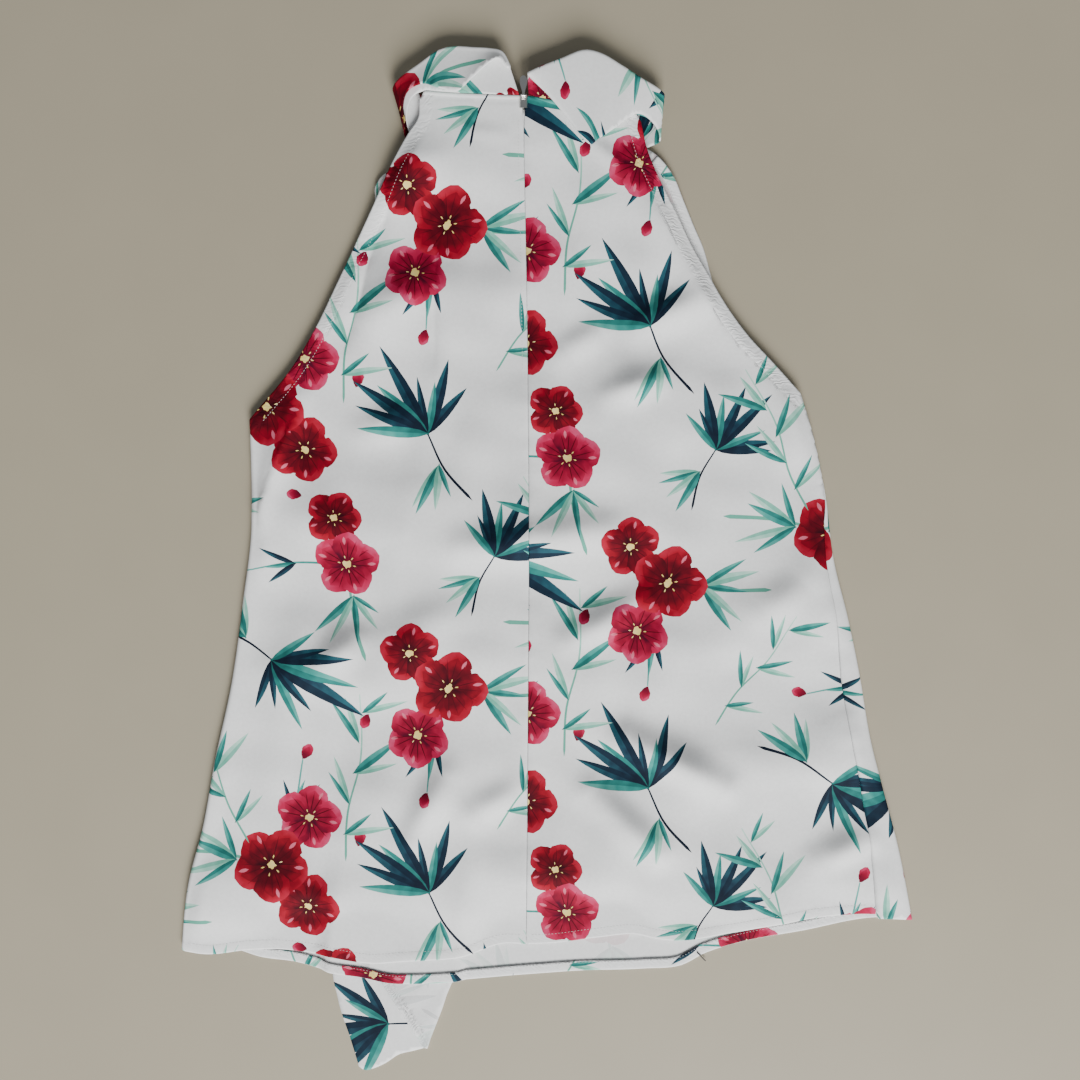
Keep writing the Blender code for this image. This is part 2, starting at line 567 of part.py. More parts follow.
def zip_tape(surface):
    """The tape and closed teeth below the centre seam."""
    top_y = SLIDER_CENTRE[1] - SLIDER_LENGTH / 2 - SEAM
    y = np.linspace(top_y, top_y - ZIP_LENGTH, 19)
    line = edge_points(CENTRE_SEAM, 200)[::-1]
    x = np.interp(y, line[:, 1], line[:, 0])
    grid = np.array([[(cx + side * TAPE_WIDTH / 2, cy) for side in (-1, -0.5, 0, 0.5, 1)] for cx, cy in zip(x, y)])
    below = CLOTH / 2 + SEAM + TAPE / 2 + 0.15
    return sheet("zip_tape", lay(grid, lambda gx, gy: back_height(gx, gy) - below), TAPE, surface)


def prism(name, outline, axis, low, high, surface):
    """A closed solid: an outline in the plane across axis, from low to high along it."""
    order = {"Y": lambda a, b, c: (a, c, b), "Z": lambda a, b, c: (a, b, c)}[axis]
    bm = bmesh.new()
    start = [bm.verts.new([v * MM for v in order(a, b, low)]) for a, b in outline]
    face = bm.faces.new(start)
    moved = bmesh.ops.extrude_face_region(bm, geom=[face])["geom"]
    step = [v * MM for v in order(0, 0, high - low)]
    bmesh.ops.translate(bm, verts=[g for g in moved if isinstance(g, bmesh.types.BMVert)], vec=step)
    bmesh.ops.recalc_face_normals(bm, faces=bm.faces)
    mesh = bpy.data.meshes.new(name)
    bm.to_mesh(mesh)
    bm.free()
    return new_object(name, mesh, surface)


def join(whole, *others):
    """Adds closed solids to one of them, and keeps the others as hidden guides."""
    for other in others:
        union = whole.modifiers.new(other.name, "BOOLEAN")
        union.operation = "UNION"
        union.object = other
        other.hide_render = True
        other.display_type = "WIRE"
    return whole


def zip_slider(surface):
    """Plate above the cloth, stem through the seam, foot below, and a bail that carries the pull."""
    x, y = SLIDER_CENTRE
    half, stem = SLIDER_WIDTH / 2, SLIDER_STEM / 2
    (foot_low, foot_high), (plate_low, plate_high) = SLIDER_FOOT, SLIDER_PLATE
    profile = [
        (x - half, foot_low), (x + half, foot_low), (x + half, foot_high), (x + stem, foot_high),
        (x + stem, plate_low), (x + half, plate_low), (x + half * 0.8, plate_high), (x - half * 0.8, plate_high),
        (x - half, plate_low), (x - stem, plate_low), (x - stem, foot_high), (x - half, foot_high),
    ]
    body = prism("zip_slider", profile, "Y", y - SLIDER_LENGTH / 2, y + SLIDER_LENGTH / 2, surface)
    outer, inner = BAIL_WIDTH / 2, BAIL_WIDTH / 2 - BAIL_BAR
    crown, below = PULL_AXIS_Z + BAIL_BAR / 2, PULL_AXIS_Z - BAIL_BAR / 2
    root = plate_high - 0.4
    arch = [
        (x - outer, root), (x - inner, root), (x - inner, below), (x + inner, below), (x + inner, root),
        (x + outer, root), (x + outer, crown - 0.3), (x + outer - 0.3, crown), (x - outer + 0.3, crown),
        (x - outer, crown - 0.3),
    ]
    bail = prism("bail", arch, "Y", BAIL_Y - BAIL_BAR / 2, BAIL_Y + BAIL_BAR / 2, surface)
    return join(body, bail)


def zip_pull(surface):
    """Drop-shaped tab with an eye round the bail. It lies towards the neck at rest. Its origin is on the bail."""
    hole, outer = PULL_EYE
    bm = bmesh.new()
    corners = [(hole, -1), (outer, -1), (outer, 1), (hole, 1)]
    verts = [bm.verts.new((side * PULL_EYE_WIDTH / 2 * MM, r * MM, 0)) for r, side in corners]
    edges = [bm.edges.new((verts[k], verts[(k + 1) % 4])) for k in range(4)]
    bmesh.ops.spin(bm, geom=verts + edges, cent=(0, 0, 0), axis=(1, 0, 0), angle=2 * math.pi, steps=16,
                   use_merge=True)
    bmesh.ops.recalc_face_normals(bm, faces=bm.faces)
    mesh = bpy.data.meshes.new("zip_pull")
    bm.to_mesh(mesh)
    bm.free()
    eye = new_object("zip_pull", mesh, surface)
    start, half = (hole + outer) / 2, PULL_WIDTH / 2
    edge = [(half * w, start + (PULL_LENGTH - start) * s) for s, w in PULL_OUTLINE]
    outline = edge + [(-x, y) for x, y in reversed(edge)]
    tab = prism("tab", outline, "Z", -PULL_WALL / 2, PULL_WALL / 2, surface)
    for piece in (eye, tab):
        piece.location = (SLIDER_CENTRE[0] * MM, BAIL_Y * MM, PULL_AXIS_Z * MM)
    return join(eye, tab)


def main():
    for old in list(bpy.data.objects):
        bpy.data.objects.remove(old, do_unlink=True)
    cloth = material("printed_crepe", (0.83, 0.83, 0.82), 0.72)
    inside = material("crepe_inside", (0.88, 0.88, 0.87), 0.8)
    woven = material("zip_tape", (0.85, 0.85, 0.84), 0.85)
    metal = material("zip_metal", (0.72, 0.72, 0.7), 0.3, 1.0)
    hem = front_panel(cloth)[1]
    back_left_panel(cloth)
    back_right_panel(cloth)
    neckband(cloth)
    tie_strip(cloth)
    hem_turn_up(hem, inside)
    zip_tape(woven)
    zip_slider(metal)
    zip_pull(metal)


main()
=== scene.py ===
import math

import bmesh
import bpy
import numpy as np
from mathutils import Matrix, Vector, geometry, kdtree


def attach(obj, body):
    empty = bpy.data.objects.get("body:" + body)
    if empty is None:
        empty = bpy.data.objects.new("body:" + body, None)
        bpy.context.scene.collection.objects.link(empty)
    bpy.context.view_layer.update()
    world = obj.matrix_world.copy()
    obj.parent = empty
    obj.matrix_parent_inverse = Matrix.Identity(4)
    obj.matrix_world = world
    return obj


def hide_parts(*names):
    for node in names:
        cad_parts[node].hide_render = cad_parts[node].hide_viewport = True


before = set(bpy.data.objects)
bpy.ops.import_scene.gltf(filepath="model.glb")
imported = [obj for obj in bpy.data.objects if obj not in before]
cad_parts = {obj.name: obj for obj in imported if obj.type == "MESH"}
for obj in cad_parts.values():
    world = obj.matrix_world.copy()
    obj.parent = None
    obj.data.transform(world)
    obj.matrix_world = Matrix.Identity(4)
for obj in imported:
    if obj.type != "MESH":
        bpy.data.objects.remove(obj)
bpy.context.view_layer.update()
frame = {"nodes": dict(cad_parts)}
print("frame loaded:", ", ".join(frame["nodes"]))

mm = 0.001


# Curves and tables


def ease(t):
    t = np.clip(t, 0.0, 1.0)
    return t * t * (3 - 2 * t)


# A smooth curve through a table's rows, read at the given places
def smoothRows(rows, knots, at):
    rows = np.array(rows, float)
    knots = np.array(knots, float)
    slopes = np.gradient(rows, knots, axis=0)
    k = np.clip(np.searchsorted(knots, at, side="right") - 1, 0, len(knots) - 2)
    step = (knots[k + 1] - knots[k])[:, None]
    t = (at - knots[k])[:, None] / step
    start = rows[k] * (1 + 2 * t) * (1 - t) ** 2 + slopes[k] * step * t * (1 - t) ** 2
    return start + rows[k + 1] * t * t * (3 - 2 * t) + slopes[k + 1] * step * t * t * (t - 1)


def runOf(line):
    return np.concatenate([[0.0], np.cumsum(np.linalg.norm(np.diff(line, axis=0), axis=1))])


# Points about one step apart on the smooth curve through an edge's points
def fineLine(table, step=1.5):
    rows = np.array(table, float)
    knots = runOf(rows)
    return smoothRows(rows, knots, np.linspace(0, knots[-1], int(knots[-1] / step) + 2))


# The points of a line whose x (axis 0) or y (axis 1) lies between two limits
def between(line, axis, low, high):
    return line[(line[:, axis] > low) & (line[:, axis] < high)]


# A table's column at y, where y falls down the table
def readByY(table, y, column):
    rows = np.array(table, float)[::-1]
    return np.interp(y, rows[:, 0], rows[:, column])


# Smooth noise from -1 to 1 with features of about the given size
def noiseAt(x, y, size, seed):
    chance = np.random.RandomState(seed)
    total = 0.0
    for _ in range(5):
        angle, phase, scale = chance.uniform(0, math.pi), chance.uniform(0, 6.3), chance.uniform(0.7, 1.5)
        total = total + np.sin((x * math.cos(angle) + y * math.sin(angle)) * scale * 2 * math.pi / size + phase)
    return total / 3.2


# The body's outline and how it lies

body = {
    "cloth": 0.5,  # what one layer shows as thickness
    "clearance": 1.5,  # of the back over the front, between their middles
    "backArmholeLeft": [
        (-86.5, 321.5), (-87.0, 306.5), (-93.5, 296.4), (-104.5, 276.9), (-116.6, 251.3), (-124.9, 234.5),
        (-142.2, 198.6), (-158.9, 164.7), (-176.9, 135.7), (-194.3, 114.9), (-204.0, 103.6),
    ],
    "backArmholeRight": [
        (62.5, 307.4), (68.0, 284.3), (76.9, 264.1), (88.6, 241.9), (98.6, 221.6), (110.0, 202.0),
        (119.0, 186.4), (137.6, 160.6), (153.9, 143.2), (173.6, 121.7),
    ],
    "frontArmholeLeft": [
        (-80.0, 283.6), (-93.0, 280.0), (-106.9, 273.2), (-113.8, 267.8), (-117.4, 261.5), (-117.4, 254.0),
        (-121.0, 240.0), (-139.5, 199.5), (-156.5, 165.5), (-175.0, 136.0), (-204.0, 103.6),
    ],
    "frontArmholeRight": [
        (63.5, 289.0), (71.4, 285.5), (79.6, 278.5), (86.5, 268.9), (92.7, 254.7), (100.2, 237.2),
        (107.2, 221.6), (111.7, 206.1), (117.0, 187.0), (136.0, 159.5), (152.5, 142.0), (173.6, 121.7),
    ],
    "sideLeft": [
        (-204.0, 103.6), (-203.7, 69.0), (-204.1, 24.2), (-210.1, -20.7), (-218.3, -76.3), (-230.8, -132.3),
        (-240.4, -181.5), (-249.9, -216.8), (-254.5, -248.0), (-256.1, -267.4),
    ],
    "sideRight": [
        (173.6, 121.7), (182.1, 96.4), (188.6, 69.0), (192.2, 49.7), (198.1, 7.0), (208.2, -32.5),
        (217.0, -73.5), (225.2, -119.0), (233.9, -151.9), (244.1, -189.2), (256.0, -245.6),
    ],
    "backHem": [
        (-257.5, -266.4), (-244.2, -269.3), (-206.4, -267.1), (-191.7, -266.7), (-156.0, -270.7),
        (-119.0, -275.7), (-102.8, -274.3), (-53.8, -270.0), (-30.7, -262.9), (-14.0, -263.2), (1.0, -262.7),
        (35.1, -258.6), (63.8, -256.5), (76.4, -259.3), (93.2, -260.5), (131.6, -254.4), (195.2, -243.7),
        (221.0, -241.2), (233.5, -241.6),
    ],
    "frontHem": [
        (-257.5, -266.4), (-241.0, -266.0), (-219.7, -267.4), (-202.3, -272.8), (-176.4, -276.6),
        (-151.2, -283.5), (-130.2, -286.4), (-110.6, -290.6), (-91.7, -291.0), (-53.9, -288.9), (-16.0, -285.6),
        (25.3, -282.8), (68.1, -281.4), (94.7, -278.9), (112.1, -270.0), (131.7, -263.6), (179.2, -254.4),
        (230.1, -244.9), (257.0, -245.5),
    ],
    "centreSeam": [
        (-15.9, 320.6), (-15.7, 286.3), (-14.4, 218.9), (-13.0, 117.0), (-12.4, 20.8), (-13.1, -90.3),
        (-13.9, -195.6), (-14.6, -266.0),
    ],
    "seamGap": 0.25,
    "mouthHalf": 0.9,  # half gap of the seam at the zip's slider
    "mouthY": (296.0, 310.0),  # where the seam starts to open, and where it is open
    # y, angle through which the front turns up at the right side, width of its strip on top
    "rightWrap": [
        (290.0, 0.0, 0.0), (130.0, 0.0, 0.0), (112.0, 60.0, 0.0), (90.0, 90.0, 0.0), (66.0, 90.0, 0.0),
        (48.0, 140.0, 0.0), (34.0, 180.0, 0.8), (7.0, 180.0, 3.0), (-32.0, 180.0, 6.0), (-73.5, 180.0, 10.5),
        (-119.0, 180.0, 11.5), (-151.9, 180.0, 13.0), (-189.2, 180.0, 16.5), (-246.0, 180.0, 22.7),
    ],
    # y, angle through which the back turns down and the front up at the left side
    "leftTurn": [(320.0, 0.0), (118.0, 0.0), (98.0, 60.0), (80.0, 88.0), (-270.0, 88.0)],
    "lead": 6.0,  # how far inside the edge its bend is measured
    # y at the top of the side edges of back left, back right, front left, front right
    "edgeTops": (321.0, 306.0, 282.5, 288.0),
    "backNeckX": (-84.0, 60.5),
    "frontNeckX": (-79.0, 62.0),
    "neckOverlap": 0.3,
    "hemGap": 0.8,  # between the hem's corners and its next points
    # the front hem's run round the right side: x at its start, y there, slope
    "hemRound": (250.0, -245.3, 0.02),
    "frontRest": 0.5,  # the front's middle over the floor
    "frontNeckRise": 3.9,
    "frontNeckRun": 75.0,
    "backLift": 3.7,
    "edgeLift": 1.9,
    "edgeRun": 24.0,
    "foldFade": 10.0,  # the folds fade out over this much beside the edges
    "hemSettle": 0.32,  # share of the lift that is lost at the hem
    "hemSettleY": (-215.0, -258.0),
    "backNeckRise": 1.5,
    "backNeckRun": 90.0,
    # from x, y to x, y, width, height
    "folds": [
        (-170.0, 118.0, -200.0, 34.0, 8.0, 4.6), (-150.0, 178.0, -118.0, 226.0, 12.0, 2.6),
        (-76.0, 226.0, -74.0, 96.0, 9.0, 1.8), (-112.0, 262.0, -62.0, 288.0, 9.0, 1.8),
        (44.0, 282.0, 96.0, 206.0, 12.0, 2.6), (118.0, 176.0, 150.0, 132.0, 12.0, 2.4),
        (62.0, 190.0, 92.0, 96.0, 14.0, 2.2), (64.0, -60.0, 78.0, -236.0, 15.0, 2.6),
        (176.0, -60.0, 206.0, -214.0, 12.0, 2.2), (-64.0, -120.0, -50.0, -250.0, 14.0, 2.0),
        (-170.0, -40.0, -196.0, -190.0, 15.0, 2.2), (128.0, -150.0, 134.0, -240.0, 11.0, 1.8),
    ],
}

collar = {
    "cloth": 1.0,  # two layers
    "middle": 7.0,
    "standRadius": 2.6,
    "fallRadius": 6.3,
    # station, droop of the fall's edge, sink of the roll, rise of the stand
    "drape": [(0.0, -1.6, 1.2, 0.2), (2.0, -2.6, 1.9, 0.0), (5.0, -2.6, 1.9, 0.0), (7.0, -1.0, 0.8, 0.0),
              (9.0, 1.0, 0.0, 0.0), (17.0, 1.8, 0.0, 1.0), (24.0, 1.8, 0.0, 1.3)],
    # turn round the loop, base x, base y, top x, top y, edge x, edge y
    "stations": [
        (0.0, -18.9, 321.5, -25.2, 340.5, -26.5, 338.0), (0.0, -26.5, 321.6, -30.2, 349.5, -32.0, 343.5),
        (0.0, -36.5, 322.0, -38.5, 351.8, -38.5, 341.0), (0.0, -47.5, 322.5, -50.0, 352.5, -51.0, 330.0),
        (0.0, -59.8, 323.0, -61.5, 353.0, -60.5, 321.8), (0.0, -72.0, 323.8, -73.0, 350.5, -72.5, 324.3),
        (4.0, -83.0, 324.2, -87.0, 340.5, -83.5, 327.0), (38.0, -90.2, 318.8, -95.5, 332.5, -91.5, 320.0),
        (90.0, -92.0, 303.0, -98.0, 326.5, -90.5, 299.0), (140.0, -87.5, 291.0, -90.0, 327.0, -86.0, 279.0),
        (176.0, -74.0, 281.0, -76.0, 317.0, -73.5, 258.0), (180.0, -47.0, 268.0, -48.0, 297.0, -46.0, 240.0),
        (180.0, -12.0, 262.0, -12.0, 291.0, -12.0, 232.0), (180.0, 24.0, 267.0, 25.0, 296.0, 23.0, 238.0),
        (176.0, 49.0, 280.0, 51.0, 308.0, 48.5, 262.0), (140.0, 62.5, 293.5, 66.0, 318.0, 62.0, 286.5),
        (90.0, 68.5, 300.0, 73.0, 322.0, 70.0, 292.0), (38.0, 67.5, 305.5, 71.0, 325.5, 66.5, 303.5),
        (4.0, 60.0, 308.9, 63.0, 331.5, 59.5, 308.5), (0.0, 47.0, 311.8, 48.5, 341.0, 46.9, 299.8),
        (0.0, 36.0, 313.5, 36.0, 348.0, 35.0, 292.0), (0.0, 24.0, 315.3, 24.0, 350.0, 28.0, 288.6),
        (0.0, 12.0, 317.0, 9.5, 344.5, 15.6, 303.1), (0.0, -1.0, 319.2, -2.5, 340.0, 1.2, 320.0),
        (0.0, -12.6, 321.2, -13.2, 335.2, -11.5, 332.5),
    ],
    "backLeftNeck": (6.0, 0.0),
    "frontNeck": (9.6, 14.9),
    "backRightNeck": (24.0, 18.0),
    "tieJoin": (11.06, 12.86),
}

tie = {
    # y, left x, right x, angle of the corner that is turned over, width of that corner
    "rows": [
        (236.0, -44.0, 18.0, 0.0, 0.0), (150.0, -64.0, 4.0, 0.0, 0.0), (50.0, -88.0, -17.0, 0.0, 0.0),
        (-50.0, -109.0, -35.0, 0.0, 0.0), (-150.0, -129.0, -51.0, 0.0, 0.0), (-220.0, -142.5, -61.6, 0.0, 0.0),
        (-234.0, -145.2, -62.8, 180.0, 0.2), (-248.0, -147.9, -63.9, 180.0, 22.0),
        (-268.0, -151.0, -65.2, 180.0, 49.0), (-289.9, -150.3, -66.5, 180.0, 49.0),
        (-299.9, -148.0, -70.7, 180.0, 39.0), (-309.9, -145.7, -73.9, 180.0, 29.0),
        (-331.0, -138.9, -82.1, 180.0, 7.5), (-337.8, -136.8, -84.2, 180.0, 1.5),
    ],
    "end": [(-132.8, -351.8), (-129.3, -354.3), (-121.5, -352.8), (-113.8, -349.2), (-103.9, -342.8),
            (-94.7, -340.6), (-86.2, -338.3)],
    "roll": 0.95,  # radius of the turned edge
    "level": 0.45,
    "lift": 1.45,  # of the front over the tie
    "foldLift": (-192.0, 34.0, 2.0),  # below this y, within this run, the fold lifts it by this much more
    "topLift": (262.0, 24.0),  # the lift starts at this y, within this run
    "margin": 1.5,  # the lift goes on this far beside the tie, then falls within a shoulder
    "shoulder": 9.0,
    "backShoulder": 20.0,
    "hemWidth": 3.4,
}


def outlineX(*tables):
    line = np.concatenate([fineLine(body[table]) for table in tables])[::-1]
    line = line[np.argsort(line[:, 1], kind="stable")]
    return lambda y: np.interp(y, line[:, 1], line[:, 0])


leftX = outlineX("backArmholeLeft", "sideLeft")
rightX = outlineX("backArmholeRight", "sideRight")
frontLeftX = outlineX("frontArmholeLeft", "sideLeft")
frontRightX = outlineX("frontArmholeRight", "sideRight")


def stationRows(at):
    return smoothRows(collar["stations"], np.arange(len(collar["stations"])), np.asarray(at, float))


# Moves plan points of the band out from the loop's middle: up on the back, down on the front
def bandPlace(at, plan, radius):
    turn = np.radians(np.clip(stationRows(at)[:, 0], 0, 180))
    side = np.where(np.asarray(at) < len(collar["stations"]) / 2, -1.0, 1.0)
    return np.column_stack(
        [plan[:, 0] + radius * side * np.sin(turn), plan[:, 1], collar["middle"] + radius * np.cos(turn)]
    )


# The plan line of the band's stand, where the body's neck is sewn to it
def neckLine(part, count=60):
    at = np.linspace(*collar[part], count + 1)
    return bandPlace(at, stationRows(at)[:, 1:3], collar["standRadius"])[:, :2]


frontNeck = neckLine("frontNeck")
backNeck = np.concatenate([neckLine("backLeftNeck"), neckLine("backRightNeck")])


# How much the tie under it lifts the cloth
def tieRise(x, y, shoulder):
    left, right = readByY(tie["rows"], y, 1), readByY(tie["rows"], y, 2)
    beside = np.maximum(np.maximum(left - x, x - right), 0.0)
    foldY, foldRun, foldRise = tie["foldLift"]
    topY, topRun = tie["topLift"]
    level = tie["lift"] + ease((foldY - y) / foldRun) * foldRise
    return level * ease((topY - y) / topRun) * (1 - ease((beside - tie["margin"]) / shoulder))


def frontHeight(x, y, shoulder=tie["shoulder"]):
    belowNeck = np.interp(x, frontNeck[:, 0], frontNeck[:, 1]) - y
    rise = body["frontNeckRise"] * (1 - ease(belowNeck / body["frontNeckRun"]))
    return body["frontRest"] + np.maximum(rise, tieRise(x, y, shoulder))


# Soft ridges, highest in the middle of their run
def foldHeight(x, y, folds):
    total = np.zeros_like(x + y)
    for x1, y1, x2, y2, width, height in folds:
        run = math.hypot(x2 - x1, y2 - y1)
        along = ((x - x1) * (x2 - x1) + (y - y1) * (y2 - y1)) / run
        across = ((x - x1) * (y2 - y1) - (y - y1) * (x2 - x1)) / run
        over = np.maximum(np.maximum(-along, along - run), 0)
        shape = np.exp(-((across / width) ** 2)) * np.exp(-((over / width) ** 2))
        total = total + height * shape * (0.55 + 0.45 * np.sin(math.pi * np.clip(along / run, 0, 1)))
    return total


def backHeight(x, y):
    fromEdge = np.minimum(x - leftX(y), rightX(y) - x)
    lift = body["backLift"] + body["edgeLift"] * np.exp(-((np.maximum(fromEdge, 0) / body["edgeRun"]) ** 2))
    top, low = body["hemSettleY"]
    lift = lift * (1 - body["hemSettle"] * ease((top - y) / (top - low)))
    nearNeck = 1 - ease((np.interp(x, backNeck[:, 0], backNeck[:, 1]) - y) / body["backNeckRun"])
    folds = foldHeight(x, y, body["folds"]) * (1 - nearNeck) * ease(fromEdge / body["foldFade"])
    lift = lift * (1 - nearNeck) + (body["backLift"] + body["backNeckRise"]) * nearNeck
    return frontHeight(x, y, tie["backShoulder"]) + lift + folds


# The level halfway between front and back at a side's edge
def edgeMiddle(side, y):
    x = (leftX(y) if side < 0 else rightX(y)) - side * body["lead"] / 2
    return (frontHeight(x, y) + backHeight(x, y)) / 2


# The print: a made-up pattern of red blossoms and narrow leaves on white

design = {
    "tile": (236.0, 318.0),
    # kind, x, y, turn, size
    "motifs": [
        ("spray", 58.0, 52.0, 20.0, 1.0), ("leaves", 168.0, 34.0, 115.0, 1.05),
        ("sprig", 118.0, 118.0, 70.0, 1.0), ("spray", 182.0, 176.0, 205.0, 0.94),
        ("leaves", 60.0, 196.0, -35.0, 1.1), ("sprig", 20.0, 120.0, 100.0, 0.9),
        ("pair", 112.0, 262.0, 130.0, 0.9), ("leaves", 214.0, 268.0, 60.0, 0.85),
        ("sprig", 10.0, 276.0, 40.0, 0.8),
    ],
    "motifReach": 90.0,
    "searchReach": 110.0,
    "reverse": (0.84, 0.84, 0.83),  # what the print fades to on the cloth's other face
    "ground": (0.86, 0.86, 0.85),
    "blossom": [(0.0, (0.030, 0.0, 0.004)), (0.35, (0.12, 0.001, 0.008)), (0.75, (0.32, 0.003, 0.016)),
                (1.0, (0.44, 0.014, 0.04))],
    "blush": [(0.0, (0.07, 0.001, 0.014)), (0.4, (0.28, 0.003, 0.026)), (0.8, (0.50, 0.014, 0.07)),
              (1.0, (0.60, 0.07, 0.16))],
    "vein": [(0.0, (0.02, 0.0, 0.003)), (1.0, (0.15, 0.001, 0.010))],
    "gleam": [(0.0, (0.40, 0.02, 0.06)), (1.0, (0.78, 0.22, 0.30))],
    "heart": [(0.0, (0.86, 0.66, 0.20)), (0.6, (0.90, 0.74, 0.34)), (1.0, (0.62, 0.26, 0.06))],
    "teal": [(0.0, (0.010, 0.11, 0.10)), (0.5, (0.03, 0.25, 0.22)), (1.0, (0.12, 0.42, 0.36))],
    "mint": [(0.0, (0.12, 0.40, 0.30)), (0.5, (0.27, 0.58, 0.46)), (1.0, (0.50, 0.76, 0.64))],
    "navy": [(0.0, (0.004, 0.010, 0.022)), (0.5, (0.008, 0.028, 0.050)), (1.0, (0.02, 0.10, 0.13))],
}


# A colour of an ink's run at places from 0 to 1, with alpha
def inkOf(ink, t):
    stops = design[ink]
    places = [stop[0] for stop in stops]
    bands = [np.interp(t, places, [stop[1][k] for stop in stops]) for k in range(3)]
    return np.column_stack(bands + [np.ones_like(t)])


def turned(points, angle, shift=(0.0, 0.0)):
    c, s = math.cos(angle), math.sin(angle)
    points = np.asarray(points, float)
    return points @ np.array([[c, s], [-s, c]]) + shift


# One printed shape along +x. Its ink runs from its root to its tip, with a tilt across it
def inked(outline, ink, length, tilt=0.0, floor=0.0):
    return {"outline": np.array(outline, float), "ink": ink, "length": length, "tilt": tilt, "floor": floor,
            "angle": 0.0, "shift": np.zeros(2)}


def moved(shapes, angle, shift=(0.0, 0.0), size=1.0):
    for shape in shapes:
        shape["outline"] = turned(shape["outline"] * size, angle, shift)
        shape["shift"] = turned(shape["shift"] * size, angle, shift)
        shape["angle"] += angle
        shape["length"] *= size
    return shapes


# A pointed outline along +x, widest past its middle where power is over 1
def lens(length, width, power=1.0, count=7, start=0.0):
    t = np.linspace(0, 1, count + 1)
    half = width / 2 * np.sin(math.pi * t**power) ** 0.85
    upper = np.column_stack([start + t * length, half])
    return np.concatenate([upper, (upper * (1, -1))[-2:0:-1]])


def petal(length, width, ink, chance):
    t = np.linspace(0, 1, 17)
    half = width / 2 * np.sin(math.pi * np.clip(t, 0, 1) ** 1.25) ** 0.62 + 0.6 * (t < 0.05)
    frill = 1 + 0.05 * np.sin(t * 17 + chance.uniform(0, 6)) + 0.03 * np.sin(t * 37 + chance.uniform(0, 6))
    upper = np.column_stack([t * length, half * frill])
    lower = np.column_stack([t * length, -half * (2 - frill)])
    shapes = [inked(np.concatenate([upper, lower[-2:0:-1]]), ink, length, chance.uniform(-0.25, 0.25))]
    inner = lens(length * 0.78, width * 0.62, 1.15, 6, length * 0.05)
    shapes.append(inked(inner, ink, length * 1.35, chance.uniform(-0.2, 0.2)))
    gleam = moved([inked(lens(length * 0.26, width * 0.1, 1.0, 4, length * 0.6), "gleam", length * 1.2)],
                  chance.uniform(0.12, 0.34) * chance.choice([-1, 1]))
    shapes += gleam
    for side in (-0.34, 0.0, 0.34):
        vein = lens(length * 0.66, 0.75, 0.8, 4, length * 0.14)
        shapes += moved([inked(vein, "vein", length)], side)
    return shapes


# Five plain petals round a pale heart
def blossom(size, ink, chance):
    shapes = []
    first = chance.uniform(0, 2 * math.pi)
    for k in (0, 2, 4, 1, 3):
        angle = first + k * 2 * math.pi / 5 + chance.uniform(-0.12, 0.12)
        shapes += moved(petal(size * chance.uniform(0.94, 1.06), size * 0.92, ink, chance), angle)
    ring = np.linspace(0, 2 * math.pi, 15)[:-1]
    reach = size * (0.115 + 0.035 * np.array([chance.uniform(-1, 1) for _ in ring]))
    shapes.append(inked(np.column_stack([np.cos(ring), np.sin(ring)]) * reach[:, None], "heart", size * 0.3))
    for angle in np.arange(6) * math.pi / 3 + first:
        far = size * chance.uniform(0.15, 0.2)
        shapes.append(inked(turned(lens(size * 0.1, size * 0.035, 1.3, 3, far), angle), "heart", size * 0.5))
    return shapes


# Two halves of a narrow leaf, the one darker than the other, beside a pale rib
def leaf(length, width, ink, chance):
    whole = lens(length, width, 0.8, 7)
    count = len(whole) // 2
    bow = chance.uniform(-0.06, 0.06) * length
    half = np.concatenate([whole[count + 1 :][::-1], [[length, 0.0], [length * 0.5, 0.0], [0.0, 0.0]]])
    shapes = [inked(whole, ink, length, 0.1, 0.15), inked(half, ink, length * 2.2)]
    for shape in shapes:
        along = shape["outline"][:, 0] / length
        shape["outline"][:, 1] += bow * along**2
    return shapes


def stem(points, width, ink):
    line = fineLine(points, 4.5)
    across = np.gradient(line, axis=0)
    across = np.column_stack([-across[:, 1], across[:, 0]]) / np.linalg.norm(across, axis=1)[:, None]
    run = runOf(line)
    point = np.clip(np.minimum(run, run[-1] - run + 3.5) / 5.0 + 0.12, 0, 1)
    half = (np.linspace(width, width * 0.55, len(line)) * point)[:, None] / 2
    return [inked(np.concatenate([line + across * half, (line - across * half)[::-1]]), ink, 60.0, 0.0, 0.2)]


def leafBundle(count, length, inks, spread, chance):
    shapes = []
    for k in range(count):
        angle = math.radians(spread) * ((k + 0.5) / count - 0.5) * 2 + chance.uniform(-0.12, 0.12)
        reach = length * chance.uniform(0.62, 1.08) * (1 - 0.25 * abs(angle))
        width = reach * chance.uniform(0.12, 0.17)
        shapes += moved(leaf(reach, width, inks[k % len(inks)], chance), angle, turned([-1.2, 0.0], angle))
    return shapes


